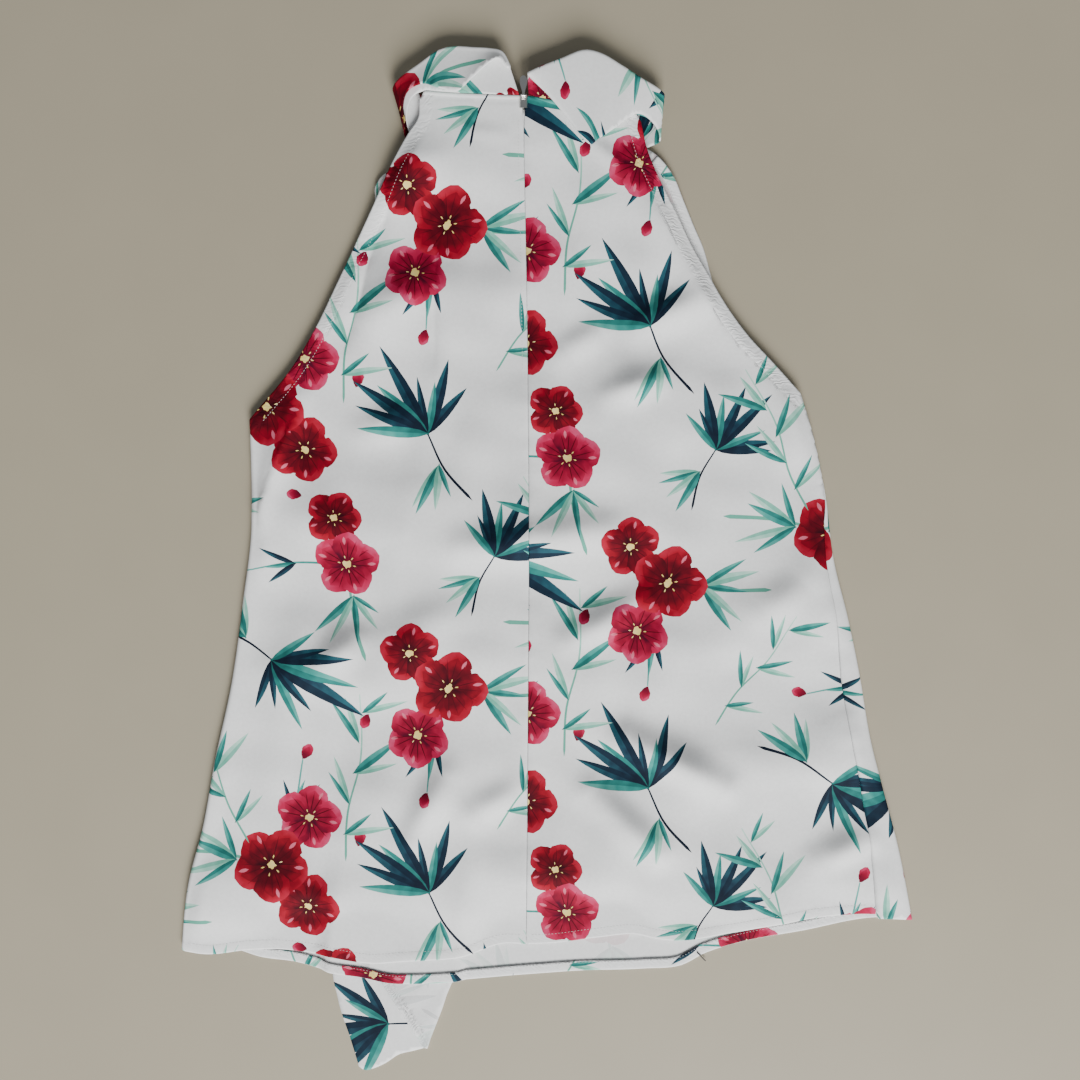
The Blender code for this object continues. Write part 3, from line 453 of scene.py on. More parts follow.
def motif(kind, chance):
    if kind == "leaves":
        shapes = stem([(-52, -8), (-25, 0), (0, 0)], 2.0, "navy")
        shapes += leafBundle(9, 66.0, ("navy", "navy", "teal"), 74, chance)
        return shapes + moved(leafBundle(4, 42.0, ("mint", "teal"), 40, chance), 2.6, (-22.0, 2.0))
    if kind == "sprig":
        shapes = stem([(-62, -14), (-30, -4), (6, 0), (52, 16)], 1.7, "mint")
        for k, place in enumerate(np.linspace(-44, 40, 5)):
            side = 1 if k % 2 else -1
            fan = leafBundle(2, 40.0, ("mint", "teal"), 22, chance)
            shapes += moved(fan, side * 0.75, (place, (place + 10) * 0.2))
        return shapes
    flowers = {"spray": [(36, 22, 24, "blush"), (14, -36, 23, "blossom"), (0, 0, 28, "blossom")],
               "pair": [(33, -16, 22, "blossom"), (0, 0, 26, "blush")]}[kind]
    shapes = stem([(-66, 36), (-34, 22), (0, 0)], 3.0, "mint") + stem([(0, 0), (30, 34), (46, 62)], 2.0, "teal")
    shapes += moved(leafBundle(5, 50.0, ("teal", "mint"), 62, chance), 2.5, (-22.0, 12.0))
    shapes += moved(leafBundle(3, 38.0, ("navy", "teal"), 40, chance), 0.9, (26.0, 30.0))
    for x, y in ((46, 62), (62, -8)):
        bud = petal(12.0, 8.0, "blush", chance)[:2]
        shapes += moved(bud, chance.uniform(0.6, 1.2), (x, y))
    for x, y, size, ink in flowers:
        shapes += moved(blossom(size, ink, chance), 0.0, (x, y))
    return shapes


# All printed shapes over a box of flat cloth. The pattern repeats with a half drop
def printOver(low, high, offset, angle=0.0):
    width, height = design["tile"]
    shapes = []
    past = design["motifReach"]
    reach = np.linalg.norm(np.array(high) - low) / 2 + design["searchReach"]
    span = int(reach / width) + 2
    for column in range(-span, span + 1):
        for row in range(-span, span + 1):
            corner = np.array([column * width, (row + 0.5 * (column % 2)) * height]) + offset
            for k, (kind, x, y, turn, size) in enumerate(design["motifs"]):
                place = turned(corner + (x, y), angle)
                if np.any(place < np.array(low) - past) or np.any(place > np.array(high) + past):
                    continue
                chance = np.random.RandomState(17 + k)
                shapes += moved(motif(kind, chance), math.radians(turn) + angle, place, size)
    return shapes


# Cloth pieces: cut flat with the print inlaid, then laid in place


# Shares of a piece's step between its points
cutting = {
    "row": 0.87,
    "line": 1.2,
    "clearance": 0.4,  # from the lines to the nearest point between them
    "lineSample": 0.6,  # between the places on the lines from which that is measured
}
weld = 0.05  # points this near to each other become one


# Which points lie inside a closed outline
def inside(points, outline):
    x, y = points[:, 0], points[:, 1]
    result = np.zeros(len(points), bool)
    for (x1, y1), (x2, y2) in zip(outline, np.roll(outline, -1, axis=0)):
        if y1 == y2:
            continue
        crosses = (y1 > y) != (y2 > y)
        result ^= crosses & (x < (x2 - x1) * (y - y1) / (y2 - y1) + x1)
    return result


# The line with points added so that no step of it is longer than the given one
def divided(line, step):
    parts = []
    for start, end in zip(line[:-1], line[1:]):
        count = int(math.ceil(np.linalg.norm(end - start) / step)) or 1
        parts.append(start + (end - start) * np.linspace(0, 1, count + 1)[:-1, None])
    return np.concatenate([*parts, line[-1:]])


# Cuts a flat piece into triangles along its outline, its printed shapes and its guides.
# Returns its points, its triangles, the number of the printed shape on each (0 is none), and the shapes
def cutCloth(outline, step, shapes, guides=()):
    outline = np.array(outline, float)
    low, high = outline.min(0), outline.max(0)
    near = [s for s in shapes if np.all(s["outline"].max(0) > low) and np.all(s["outline"].min(0) < high)]
    closed = [outline] + [s["outline"] for s in near]
    lines = [divided(np.concatenate([line, line[:1]]), step * cutting["line"]) for line in closed]
    guideRuns = [guide for guide in guides if len(guide) > 1]
    kept = [np.ones(len(line), bool) for line in lines] + [inside(guide, outline) for guide in guideRuns]
    fixed = np.concatenate(lines + guideRuns)
    edges, start = [], 0
    for held in kept:
        ends = np.nonzero(held[:-1] & held[1:])[0] + start
        edges += np.column_stack([ends, ends + 1]).tolist()
        start += len(held)
    grid = []
    for k, y in enumerate(np.arange(low[1] + step / 2, high[1], step * cutting["row"])):
        x = np.arange(low[0] + step * (0.25 + 0.5 * (k % 2)), high[0], step)
        grid.append(np.column_stack([x, np.full(len(x), y)]))
    grid = np.concatenate(grid)
    grid = grid[inside(grid, outline)]
    close = np.concatenate([divided(line, step * cutting["lineSample"]) for line in lines + guideRuns])
    tree = kdtree.KDTree(len(close))
    for k, (x, y) in enumerate(close):
        tree.insert((x, y, 0.0), k)
    tree.balance()
    clear = [tree.find((x, y, 0.0))[2] > step * cutting["clearance"] for x, y in grid]
    everything = np.concatenate([fixed, grid[clear]])
    found = geometry.delaunay_2d_cdt([Vector(p) for p in everything], edges, [], 0, weld, False)
    flat = np.array([tuple(p) for p in found[0]])
    triangles = np.array(found[2])
    middles = flat[triangles].mean(axis=1)
    held = inside(middles, outline)
    triangles, middles = triangles[held], middles[held]
    printed = np.zeros(len(triangles), int)
    order = np.argsort(middles[:, 1])
    sortedY = middles[order, 1]
    for k, shape in enumerate(near):
        (x1, y1), (x2, y2) = shape["outline"].min(0), shape["outline"].max(0)
        chosen = order[np.searchsorted(sortedY, y1) : np.searchsorted(sortedY, y2)]
        chosen = chosen[(middles[chosen, 0] > x1) & (middles[chosen, 0] < x2)]
        printed[chosen[inside(middles[chosen], shape["outline"])]] = k + 1
    return flat, triangles, printed, near


# Colours of the triangles' corners. Each shape's ink runs along it, with a little unevenness
def colourCorners(flat, triangles, printed, near):
    colours = np.empty((len(triangles), 3, 4))
    colours[:] = (*design["ground"], 1.0)
    order = np.argsort(printed, kind="stable")
    edges = np.searchsorted(printed[order], np.arange(1, len(near) + 2))
    for k, shape in enumerate(near):
        chosen = order[edges[k] : edges[k + 1]]
        if len(chosen) == 0:
            continue
        local = turned(flat[triangles[chosen]].reshape(-1, 2) - shape["shift"], -shape["angle"])
        t = local[:, 0] / shape["length"] + shape["tilt"] * local[:, 1] / (0.35 * shape["length"])
        t = t + 0.13 * noiseAt(local[:, 0], local[:, 1], 7.0, 31)
        colours[chosen] = inkOf(shape["ink"], np.clip(t + shape["floor"], 0, 1)).reshape(-1, 3, 4)
    return colours


def flatArea(flat, triangles):
    a, b, c = flat[triangles[:, 0]], flat[triangles[:, 1]], flat[triangles[:, 2]]
    ab, ac = b - a, c - a
    return float(np.abs(ab[:, 0] * ac[:, 1] - ab[:, 1] * ac[:, 0]).sum() / 2)


def newObject(name, data):
    made = bpy.data.objects.new(name, data)
    bpy.context.scene.collection.objects.link(made)
    return made


# Lays a cut piece in place, and gives it its wall. Returns it and its flat area in square metres
def clothPiece(name, cut, place, wall, faceDown, materials, hems=()):
    flat, triangles, printed, near = cut
    colours = colourCorners(flat, triangles, printed, near)
    used, order = np.unique(triangles, return_inverse=True)
    triangles = order.reshape(-1, 3)
    flat = flat[used]
    area = flatArea(flat, triangles) * mm * mm
    if faceDown:
        triangles = triangles[:, ::-1]
        colours = colours[:, ::-1]
    mesh = bpy.data.meshes.new(name)
    mesh.from_pydata((place(flat[:, 0], flat[:, 1]) * mm).tolist(), [], triangles.tolist())
    layer = mesh.color_attributes.new("print", "FLOAT_COLOR", "CORNER")
    layer.data.foreach_set("color", colours.reshape(-1))
    run, share = hemShares(hems, flat[:, 0], flat[:, 1])
    mesh.attributes.new("hemRun", "FLOAT", "POINT").data.foreach_set("value", run)
    mesh.attributes.new("hemShare", "FLOAT", "POINT").data.foreach_set("value", share)
    mesh.shade_smooth()
    for surface in materials:
        mesh.materials.append(surface)
    piece = newObject(name, mesh)
    thick = piece.modifiers.new("wall", "SOLIDIFY")
    thick.thickness = wall * mm
    thick.offset = 0.0
    thick.material_offset = len(materials) - 1
    print(f"{name}: {len(triangles)} triangles, {area:.4f} m2 flat")
    return piece, area


# Distance from points to a line, and how far along it their nearest points are. Every fourth of its points will do
def nearLine(line, x, y):
    x, y = np.asarray(x, float), np.asarray(y, float)
    line = line[np.linspace(0, len(line) - 1, max(len(line) // 4, 2)).astype(int)]
    run = runOf(line)
    nearest = np.full(x.shape, 1e9)
    place = np.zeros(x.shape)
    for k in range(len(line) - 1):
        start, step = line[k], line[k + 1] - line[k]
        size = step @ step
        share = np.clip(((x - start[0]) * step[0] + (y - start[1]) * step[1]) / size, 0, 1)
        gap = np.hypot(x - start[0] - share * step[0], y - start[1] - share * step[1])
        nearer = gap < nearest
        nearest = np.where(nearer, gap, nearest)
        place = np.where(nearer, run[k] + share * math.sqrt(size), place)
    return nearest, place


# For the puckers of stitched hems: how far along its hem each point lies, in millimetres, and how near to it
def hemShares(hems, x, y):
    run, share = np.zeros(len(x)), np.zeros(len(x))
    for line, width, strength in hems:
        distance, along = nearLine(line, x, y)
        near = strength * (1 - ease((distance - width) / 2.6)) * (0.35 + 0.65 * ease(distance / width))
        run = np.where(near > share, along + 0.9 * distance + 1.6 * np.sin(along / 6.3), run)
        share = np.maximum(share, near)
    return run, share


# The line moved to its left by a distance
def offsetLine(line, distance):
    ahead = np.gradient(line, axis=0)
    ahead = ahead / np.linalg.norm(ahead, axis=1)[:, None]
    return line + np.column_stack([-ahead[:, 1], ahead[:, 0]]) * distance


sewing = {
    "armholeStitch": 8.0,  # from the edge
    "hemStitch": 6.5,
    "zipStitch": 3.6,
    "ridge": 0.3,
    "valley": 0.22,
    "pucker": 0.15,
    "puckerEvery": 6.5,
    "roll": 0.25,  # how far an edge rounds down
    "groove": (0.45, 1.3),  # depth and width of a seam's
    "allowance": (0.16, 11.0, 2.5),  # height, reach and fade of the seam allowance under the cloth
    "seamPucker": (0.12, 17.0, 9.0),  # height, length and reach
    # height, distance from the neck seam and width of the ridge and the dip under the band
    "neckRelief": [(0.6, 1.5, 0.8), (-0.25, 3.4, 0.9)],
    "wrinkle": 0.26,  # the fine wrinkles beside the stitches
    "wrinkleEvery": 3.6,
    "frontHem": 7.3,  # width of the front's hem allowance, which lies inside
    "facing": 7.0,  # and of its armholes' allowance
    "allowanceLift": 0.62,  # its middle over the front's
    "allowanceTop": 0.95,
    "stitch": (1.5, 0.28, 0.2),  # length, width and height of one
    "stitchEvery": 2.3,
    "proud": 0.04,  # of the stitches over the cloth
}


# Relief of a turned and stitched edge: a ridge to the stitches, a valley there, and puckers beside it
def hemRelief(line, x, y, stitchAt):
    distance, along = nearLine(line, x, y)
    wave = np.sin(2 * math.pi * along / sewing["puckerEvery"] + 2.2 * np.sin(along / 13.0))
    wave = wave * (0.6 + 0.4 * np.sin(along / 9.0 + 1.0))
    ridge = sewing["ridge"] * (1 - ease((distance - stitchAt) / 1.2))
    valley = sewing["valley"] * np.exp(-(((distance - stitchAt) / 0.8) ** 2))
    pucker = sewing["pucker"] * wave * np.exp(-(((distance - stitchAt * 0.7) / (stitchAt * 0.55)) ** 2))
    return ridge - valley + pucker - sewing["roll"] * np.exp(-(distance**2))


# A seam's groove, with a faint ridge of its allowance beside it
def seamRelief(line, x, y):
    distance, along = nearLine(line, x, y)
    depth, width = sewing["groove"]
    groove = depth * np.exp(-((distance / width) ** 2))
    height, reach, fade = sewing["allowance"]
    allowance = height * (1 - ease((distance - reach) / fade))
    height, length, reach = sewing["seamPucker"]
    wave = np.sin(2 * math.pi * along / length + 2.0 * np.sin(along / 31.0))
    return allowance - groove + height * wave * np.exp(-((distance / reach) ** 2))


def guideLines(line, distances, side):
    return [offsetLine(line, side * d) for d in distances]


centreLine = fineLine(body["centreSeam"])
armLeftLine = fineLine(body["backArmholeLeft"])
armRightLine = fineLine(body["backArmholeRight"])
backHemLine = fineLine(body["backHem"])
frontHemLine = fineLine(body["frontHem"])
neckLines = [neckLine("backLeftNeck"), neckLine("backRightNeck")]
wrapY = np.linspace(60.0, -246.0, 200)
sideSeamLine = np.column_stack([rightX(wrapY) - 2.6 - readByY(body["rightWrap"], wrapY, 2), wrapY])

creases = {
    # from x, y to x, y, width, height, beside the body's own folds
    "back": [
        (-60.0, 300.0, -30.0, 296.0, 5.4, 1.8), (20.0, 300.0, 62.0, 262.0, 5.4, 2.5),
        (56.3, -116.9, 121.9, -150.5, 11.7, 10.0), (31.4, -154.7, 75.4, -195.6, 11.7, 9.4),
        (-56.6, 15.3, 36.6, 26.3, 13.5, 8.5), (16.0, -48.5, 64.3, -20.7, 11.7, 8.5),
        (-158.6, -68.0, -132.2, -48.5, 10.8, 7.0), (-70.2, -142.8, -92.6, -185.0, 10.8, 7.0),
        (-48.0, -168.8, -22.2, -153.3, 10.8, 6.1), (63.7, 168.1, 104.6, 185.1, 12.6, 8.5),
        (44.6, 121.1, 72.0, 129.3, 9.9, 7.0), (13.0, 149.7, 36.3, 164.7, 10.8, 6.1),
        (192.0, -201.2, 219.7, -188.5, 10.8, 7.0), (-124.4, 95.1, -95.5, 106.7, 12.6, 5.9),
        (-110.0, 180.0, -84.0, 190.0, 12.6, 4.9), (150.0, -30.0, 176.0, -8.0, 12.6, 5.0),
        (-190.0, -226.0, -150.0, -232.0, 10.8, 4.0), (-100.0, -40.0, -60.0, -30.0, 14.4, 4.9),
        (8.0, 62.0, 74.0, 84.0, 24.0, 5.5), (-132.0, 168.0, -90.0, 214.0, 22.0, 3.6),
        (-150.0, -20.0, -70.0, 10.0, 26.0, 3.6),
    ],
    "tuck": [(-167.0, 120.0), (-170.5, 112.0), (-175.5, 101.3), (-183.0, 82.8), (-192.4, 57.7), (-202.4, 30.7)],
    "tuckHeight": 2.1,
    "tuckSharp": 0.9,
    "tuckFade": 17.0,
    # depth, reach to the left, reach to the right, points from top to bottom
    "valleys": [
        (4.2, 7.5, 6.5, [(-104.0, 260.0), (-107.5, 248.0), (-121.4, 215.0), (-129.0, 182.0), (-136.8, 159.0),
                         (-141.0, 144.0)]),
        (2.4, 8.0, 5.5, [(-75.6, 268.0), (-75.2, 230.0), (-76.4, 190.0), (-76.8, 132.0)]),
    ],
    # height and size of the cloth's uneven lie
    "swell": (3.9, 118.0),
    "ripple": (1.0, 50.0),
    "edgeFade": 14.0,
    "topFade": (318.0, 40.0),  # the relief starts at this y, within this run
    "blend": 0.7,  # how softly the back stops at its least height
}


# Distance from a line that falls, which points lie right of it, and a share that fades towards its ends
def besideLine(points, x, y, startFade, endFade):
    line = fineLine(points)
    distance, along = nearLine(line, x, y)
    onRight = x > np.interp(y, line[::-1, 1], line[::-1, 0])
    return distance, onRight, ease(along / startFade) * ease((runOf(line)[-1] - along) / endFade)


# The cloth steps up at the tuck's line and sinks back beyond it, on the side of the body's middle
def tuckRelief(x, y):
    distance, onRight, ends = besideLine(creases["tuck"], x, y, 26.0, 22.0)
    signed = np.where(onRight, distance, -distance)
    step = 1 / (1 + np.exp(-np.clip(signed / creases["tuckSharp"], -30, 30) * 2))
    fade = np.exp(-np.maximum(signed, 0) / creases["tuckFade"])
    return creases["tuckHeight"] * step * fade * ends


def valleyRelief(x, y):
    total = np.zeros_like(x + y)
    for depth, leftReach, rightReach, points in creases["valleys"]:
        distance, onRight, ends = besideLine(points, x, y, 30.0, 26.0)
        total = total - depth * np.exp(-distance / np.where(onRight, rightReach, leftReach)) * ends
    return total


# All that the back's creases and sewing add to its height
def backDetail(x, y):
    fromEdge = np.minimum(x - leftX(y), rightX(y) - x)
    swell, ripple = creases["swell"], creases["ripple"]
    wavy = swell[0] * noiseAt(x, y, swell[1], 3) + ripple[0] * noiseAt(x, y, ripple[1], 5)
    wavy = np.where(wavy > 0, wavy, 0.75 * wavy)
    total = (foldHeight(x, y, creases["back"]) + wavy) * ease(fromEdge / creases["edgeFade"])
    topY, topRun = creases["topFade"]
    total = (total + tuckRelief(x, y) + valleyRelief(x, y)) * ease((topY - y) / topRun)
    for line in neckLines:
        distance = nearLine(line, x, y)[0]
        for height, place, width in sewing["neckRelief"]:
            total += height * np.exp(-(((distance - place) / width) ** 2))
    total += hemRelief(armLeftLine, x, y, sewing["armholeStitch"])
    total += hemRelief(armRightLine, x, y, sewing["armholeStitch"])
    total += hemRelief(backHemLine, x, y, sewing["hemStitch"])
    return total + seamRelief(centreLine, x, y) + seamRelief(sideSeamLine, x, y)


# The back with its creases, kept clear of the front under it
def backLevel(x, y):
    least = frontHeight(x, y) + body["clearance"]
    over = backHeight(x, y) + backDetail(x, y) - least
    return least + (over + np.hypot(over, creases["blend"])) / 2


# Takes points round a bend, up or down. out is how far past the straight end they are
def bendRound(out, radius, angle, height, upward):
    bent = np.clip(out / radius, 0, angle)
    after = np.maximum(out - radius * angle, 0)
    reach = radius * np.sin(bent) + after * np.cos(angle)
    rise = radius * (1 - np.cos(bent)) + after * np.sin(angle)
    return reach, height + upward * rise


# Straight end, radius and angle of a left edge at y. radius is from the middle to the layer
def leftEdge(edgeX, radius, y):
    angle = np.maximum(np.radians(readByY(body["leftTurn"], y, 1)) - body["seamGap"] / 2 / radius, 0.0)
    return edgeX + radius * np.sin(angle), radius, angle


def backLeftEdge(y):
    return leftEdge(leftX(y), backHeight(leftX(y) + body["lead"], y) - edgeMiddle(-1, y), y)


def frontLeftEdge(y):
    return leftEdge(frontLeftX(y), edgeMiddle(-1, y) - frontHeight(leftX(y) + body["lead"], y), y)


def placeBackLeft(x, y):
    end, radius, angle = backLeftEdge(y)
    out = np.maximum(end - x, 0)
    level = backLevel(np.maximum(x, end), y)
    reach, z = bendRound(out, radius, angle, level, -1)
    return np.column_stack([np.where(out > 0, end - reach, x), y, z])


# Of the right side: the front's straight end, bend radius, angle and strip on top, and the middle's level
def rightEdge(y):
    middle = edgeMiddle(1, y)
    radius = middle - frontHeight(rightX(y) - body["lead"], y)
    angle = np.radians(readByY(body["rightWrap"], y, 1))
    strip = readByY(body["rightWrap"], y, 2)
    return rightX(y) - radius * np.sin(np.minimum(angle, math.pi / 2)), radius, angle, strip, middle


def backRightEdge(y):
    end, _, angle, strip, middle = rightEdge(y)
    return end - strip, backHeight(end - strip, y) - middle, np.minimum(angle, math.pi - angle)


def placeBackRight(x, y):
    end, radius, angle = backRightEdge(y)
    out = np.maximum(x - end, 0)
    level = backLevel(np.minimum(x, end), y)
    reach, z = bendRound(out, radius, angle, level, -1)
    return np.column_stack([np.where(out > 0, end + reach, x), y, z])


# The centre seam's edge on one side, from the neck down, which opens at the slider
def seamSide(side):
    line = centreLine.copy()
    low, high = body["mouthY"]
    half = body["seamGap"] / 2
    line[:, 0] += side * (half + (body["mouthHalf"] - half) * ease((line[:, 1] - low) / (high - low)))
    return line


# The part of a hem between two places, with its ends exactly there
def hemPart(line, left, right):
    part = between(line, 0, left + body["hemGap"], right - body["hemGap"])
    ends = [(x, np.interp(x, line[:, 0], line[:, 1])) for x in (left, right)]
    return np.concatenate([ends[:1], part, ends[1:]])


# The y at which an outer edge, given as x by y, meets a hem
def hemMeetsY(line, edge):
    return line[np.argmin(np.abs(edge(line[:, 1]) - line[:, 0])), 1]


# Lines along a turned edge: over its bend, from edge's straight end, radius and angle at y, and on the strip beyond
def bendLines(edge, side, low, high, before, count=5, strip=None):
    y = np.arange(low, high, 2.2)
    end, radius, angle = edge(y)[:3]
    bend = radius * angle
    places = [-before, 0.0] + [bend * k / count for k in range(1, count)]
    places += [bend + strip(y) * share for share in (0.12, 0.35, 0.6, 0.85)] if strip else [bend]
    return [np.column_stack([end + side * (place + 0 * y), y])[bend > 0.4] for place in places]


# Neck edge of a piece, just under the band
def neckEdge(part, span):
    return between(neckLine(part) - (0, body["neckOverlap"]), 0, *body[span])


# The centre seam of one half, down to the hem at hemX
def seamDown(side, hemX):
    seam = seamSide(side)
    return seam[seam[:, 1] > np.interp(hemX, backHemLine[:, 0], backHemLine[:, 1]) + body["hemGap"]]


# The places y at which a side edge is drawn
def edgeY(bottom, corner):
    return np.linspace(bottom, body["edgeTops"][corner], 420)


def backLeftOutline():
    y = edgeY(hemMeetsY(backHemLine, leftX), 0)
    end, radius, angle = backLeftEdge(y)
    edge = np.column_stack([end - radius * angle, y])
    seam, neck = seamDown(-1, -14.7), neckEdge("backLeftNeck", "backNeckX")
    hem = hemPart(backHemLine, edge[0, 0] + 0.3, seam[-1, 0])
    return np.concatenate([hem, seam[::-1], neck[::-1], edge[::-1][3:-2]])


def backRightOutline():
    y = edgeY(hemMeetsY(backHemLine, lambda y: rightX(y) - 25.0), 1)
    end, radius, angle = backRightEdge(y)
    turns = readByY(body["rightWrap"], y, 1) > 0
    edge = np.column_stack([np.where(turns, end + radius * angle - body["seamGap"] / 2, rightX(y)), y])
    seam, neck = seamDown(1, -14.0), neckEdge("backRightNeck", "backNeckX")
    hem = hemPart(backHemLine, seam[-1, 0], edge[0, 0] - 0.3)
    return np.concatenate([hem, edge[2:-2], neck[::-1], seam])


# The front with a faint unevenness
def frontLevel(x, y):
    return frontHeight(x, y) - 0.1 + 0.12 * noiseAt(x, y, 60.0, 9)


def placeFront(x, y):
    endLeft, radiusLeft, angleLeft = frontLeftEdge(y)
    endRight, radius, angle, _, middle = rightEdge(y)
    endRight = np.where(angle > 0, endRight, frontRightX(y))
    level = frontLevel(np.clip(x, endLeft, endRight), y)
    outLeft = np.maximum(endLeft - x, 0)
    reachLeft, zLeft = bendRound(outLeft, radiusLeft, angleLeft, level, 1)
    outRight = np.maximum(x - endRight, 0)
    reachRight, zRight = bendRound(outRight, radius, angle, level, 1)
    placed = np.where(outLeft > 0, endLeft - reachLeft, np.where(outRight > 0, endRight + reachRight, x))
    onTop = ease((zRight - middle) / radius) * (angle >= math.pi) * (outRight > 0)
    zRight = zRight + onTop * (backLevel(placed, y) - middle - radius)
    return np.column_stack([placed, y, np.where(outLeft > 0, zLeft, zRight)])


def frontOutline():
    startX, startY, slope = body["hemRound"]
    y = edgeY(hemMeetsY(frontHemLine, leftX), 2)
    end, radius, angle = frontLeftEdge(y)
    left = np.column_stack([end - radius * angle, y])
    y = edgeY(startY - 0.1, 3)
    end, radius, angle, strip, _ = rightEdge(y)
    wrapEdge = end + radius * angle + strip - body["seamGap"] / 2
    right = np.column_stack([np.where(angle > 0, wrapEdge, frontRightX(y)), y])
    hem = hemPart(frontHemLine, left[0, 0] + 0.3, startX)
    past = np.linspace(startX + 2.0, right[0, 0] - 1.0, 16)
    wrapped = np.column_stack([past, startY + slope * (past - startX)])
    neck = neckEdge("frontNeck", "frontNeckX")
    return np.concatenate([hem, wrapped, right[2:-2], neck[::-1], left[::-1][2:-2]])


# Materials


# Returns a material, a function that adds a node to it, and one that fills its shader's inputs.
# An input is a value or another node's output
def newMaterial(name):
    surface = bpy.data.materials.new(name)
    surface.use_nodes = True
    tree = surface.node_tree

    def fill(node, inputs):
        for socket, value in inputs.items():
            if isinstance(value, bpy.types.NodeSocket):
                tree.links.new(value, node.inputs[socket])
            else:
                node.inputs[socket].default_value = value
        return node

    def add(kind, inputs, **settings):
        node = tree.nodes.new("ShaderNode" + kind)
        for setting, value in settings.items():
            setattr(node, setting, value)
        return fill(node, inputs).outputs

    return surface, add, lambda inputs: fill(tree.nodes["Principled BSDF"], inputs)


# Crepe with the print's colours, faded on the reverse
def clothMaterial(name, fade):
    surface, add, shade = newMaterial(name)
    place = add("TexCoord", {})["Object"]
    ink = add("Attribute", {}, attribute_name="print")["Color"]
    faded = add("Mix", {"Factor": fade, "A": ink, "B": (*design["reverse"], 1)}, data_type="RGBA")["Result"]
    mottle = add("TexNoise", {"Scale": 420.0, "Detail": 3.0, "Vector": place})["Fac"]  # the dye takes unevenly
    depth = add("MapRange", {"To Min": 0.9, "To Max": 1.07, "Value": mottle})["Result"]
    dyed = add("Mix", {"Factor": 1.0, "A": faded, "B": depth}, data_type="RGBA", blend_type="MULTIPLY")["Result"]
    grain = add("TexNoise", {"Scale": 1700.0, "Detail": 2.0, "Vector": place})["Fac"]  # crepe's pebbled yarn
    bump = add("Bump", {"Strength": 0.22, "Distance": 0.0002, "Height": grain})["Normal"]
    run = add("Attribute", {}, attribute_name="hemRun")["Fac"]
    near = add("Attribute", {}, attribute_name="hemShare")["Fac"]
    uneven = add("TexNoise", {"Scale": 160.0, "Vector": place})["Fac"]  # no two puckers alike

    def maths(operation, *values):
        return add("Math", dict(enumerate(values)), operation=operation)[0]

    turns = maths("MULTIPLY_ADD", run, 2 * math.pi / sewing["wrinkleEvery"], maths("MULTIPLY", uneven, 22.0))
    height = maths("MULTIPLY", maths("SINE", turns), near)
    height = maths("MULTIPLY", height, maths("POWER", uneven, 1.6))
    pucker = add("Bump", {"Strength": 1.0, "Distance": sewing["wrinkle"] * mm, "Height": height, "Normal": bump})
    shade({"Roughness": 0.72, "Specular IOR Level": 0.12, "Base Color": dyed, "Normal": pucker["Normal"]})
    return surface


def plainMaterial(name, colour, roughness, metallic=0.0, grainScale=900.0, grainStrength=0.1):
    surface, add, shade = newMaterial(name)
    grain = add("TexNoise", {"Scale": grainScale, "Vector": add("TexCoord", {})["Object"]})["Fac"]
    dark = (*[c * 0.92 for c in colour], 1)
    tint = add("Mix", {"A": dark, "B": (*colour, 1), "Factor": grain}, data_type="RGBA")["Result"]
    bump = add("Bump", {"Strength": grainStrength, "Distance": 0.0001, "Height": grain})["Normal"]
    shade({"Metallic": metallic, "Roughness": roughness, "Base Color": tint, "Normal": bump})
    return surface


printedCrepe = clothMaterial("printed crepe", 0.0)
reverseCrepe = clothMaterial("crepe reverse", 0.8)
threadMaterial = plainMaterial("sewing thread", (0.72, 0.72, 0.70), 0.6)
tapeMaterial = plainMaterial("zip tape", (0.80, 0.80, 0.79), 0.85, grainStrength=0.3)
teethMaterial = plainMaterial("zip teeth", (0.78, 0.78, 0.77), 0.35)
# Near black, for the thin line along the front allowance's raw edge and for the short thread end
darkLineMaterial = plainMaterial("dark line", (0.035, 0.035, 0.04), 0.7)
metalMaterial = plainMaterial("zip metal", (0.66, 0.65, 0.62), 0.28, 1.0, 2500.0, 0.06)


# A mesh object of one material
def plainObject(name, mesh, surface):
    mesh.shade_smooth()
    mesh.materials.append(surface)
    return newObject(name, mesh)


def declare(piece, slot, *nodes):
    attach(piece, "garment")
    if nodes:
        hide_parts(*nodes)


# Cuts a piece with the print over it. steps are for a quick and for a full render; only the full one is used
def printedCut(outline, steps, guides, offset, angle=0.0, without=()):
    shapes = printOver(outline.min(0), outline.max(0), offset, angle)
    shapes = [shape for shape in shapes if shape["ink"] not in without]
    return cutCloth(outline, steps[1], shapes, guides)


# The two halves of the back

backSteps = (6.0, 2.6)
bothFaces = [printedCrepe, reverseCrepe]
backHems = [(armLeftLine, 8.0, 0.6), (armRightLine, 8.0, 1.0), (backHemLine, 6.0, 0.3)]
# Distances from an edge at which its relief turns
armBends, hemBends = (0.9, 7.2, 8.0, 8.9), (0.9, 5.8, 6.5, 7.4)
seamBends, neckBends = (0.8, 1.6), (0.7, 1.5, 2.4, 3.4)

guides = guideLines(armLeftLine, armBends, 1) + guideLines(centreLine, seamBends, -1)
guides += guideLines(backHemLine, hemBends, 1) + guideLines(neckLines[0], neckBends, -1)
for *_, points in creases["valleys"]:
    guides += guideLines(fineLine(points), (-1.4, 0.0, 1.4), 1)
guides += bendLines(backLeftEdge, -1, -265, 116, 1.2)
cut = printedCut(backLeftOutline(), backSteps, guides, (-250.0, 60.0))
backLeft, area = clothPiece("backLeft", cut, placeBackLeft, body["cloth"], False, bothFaces, backHems)
declare(backLeft, "printed_crepe", "back_left")

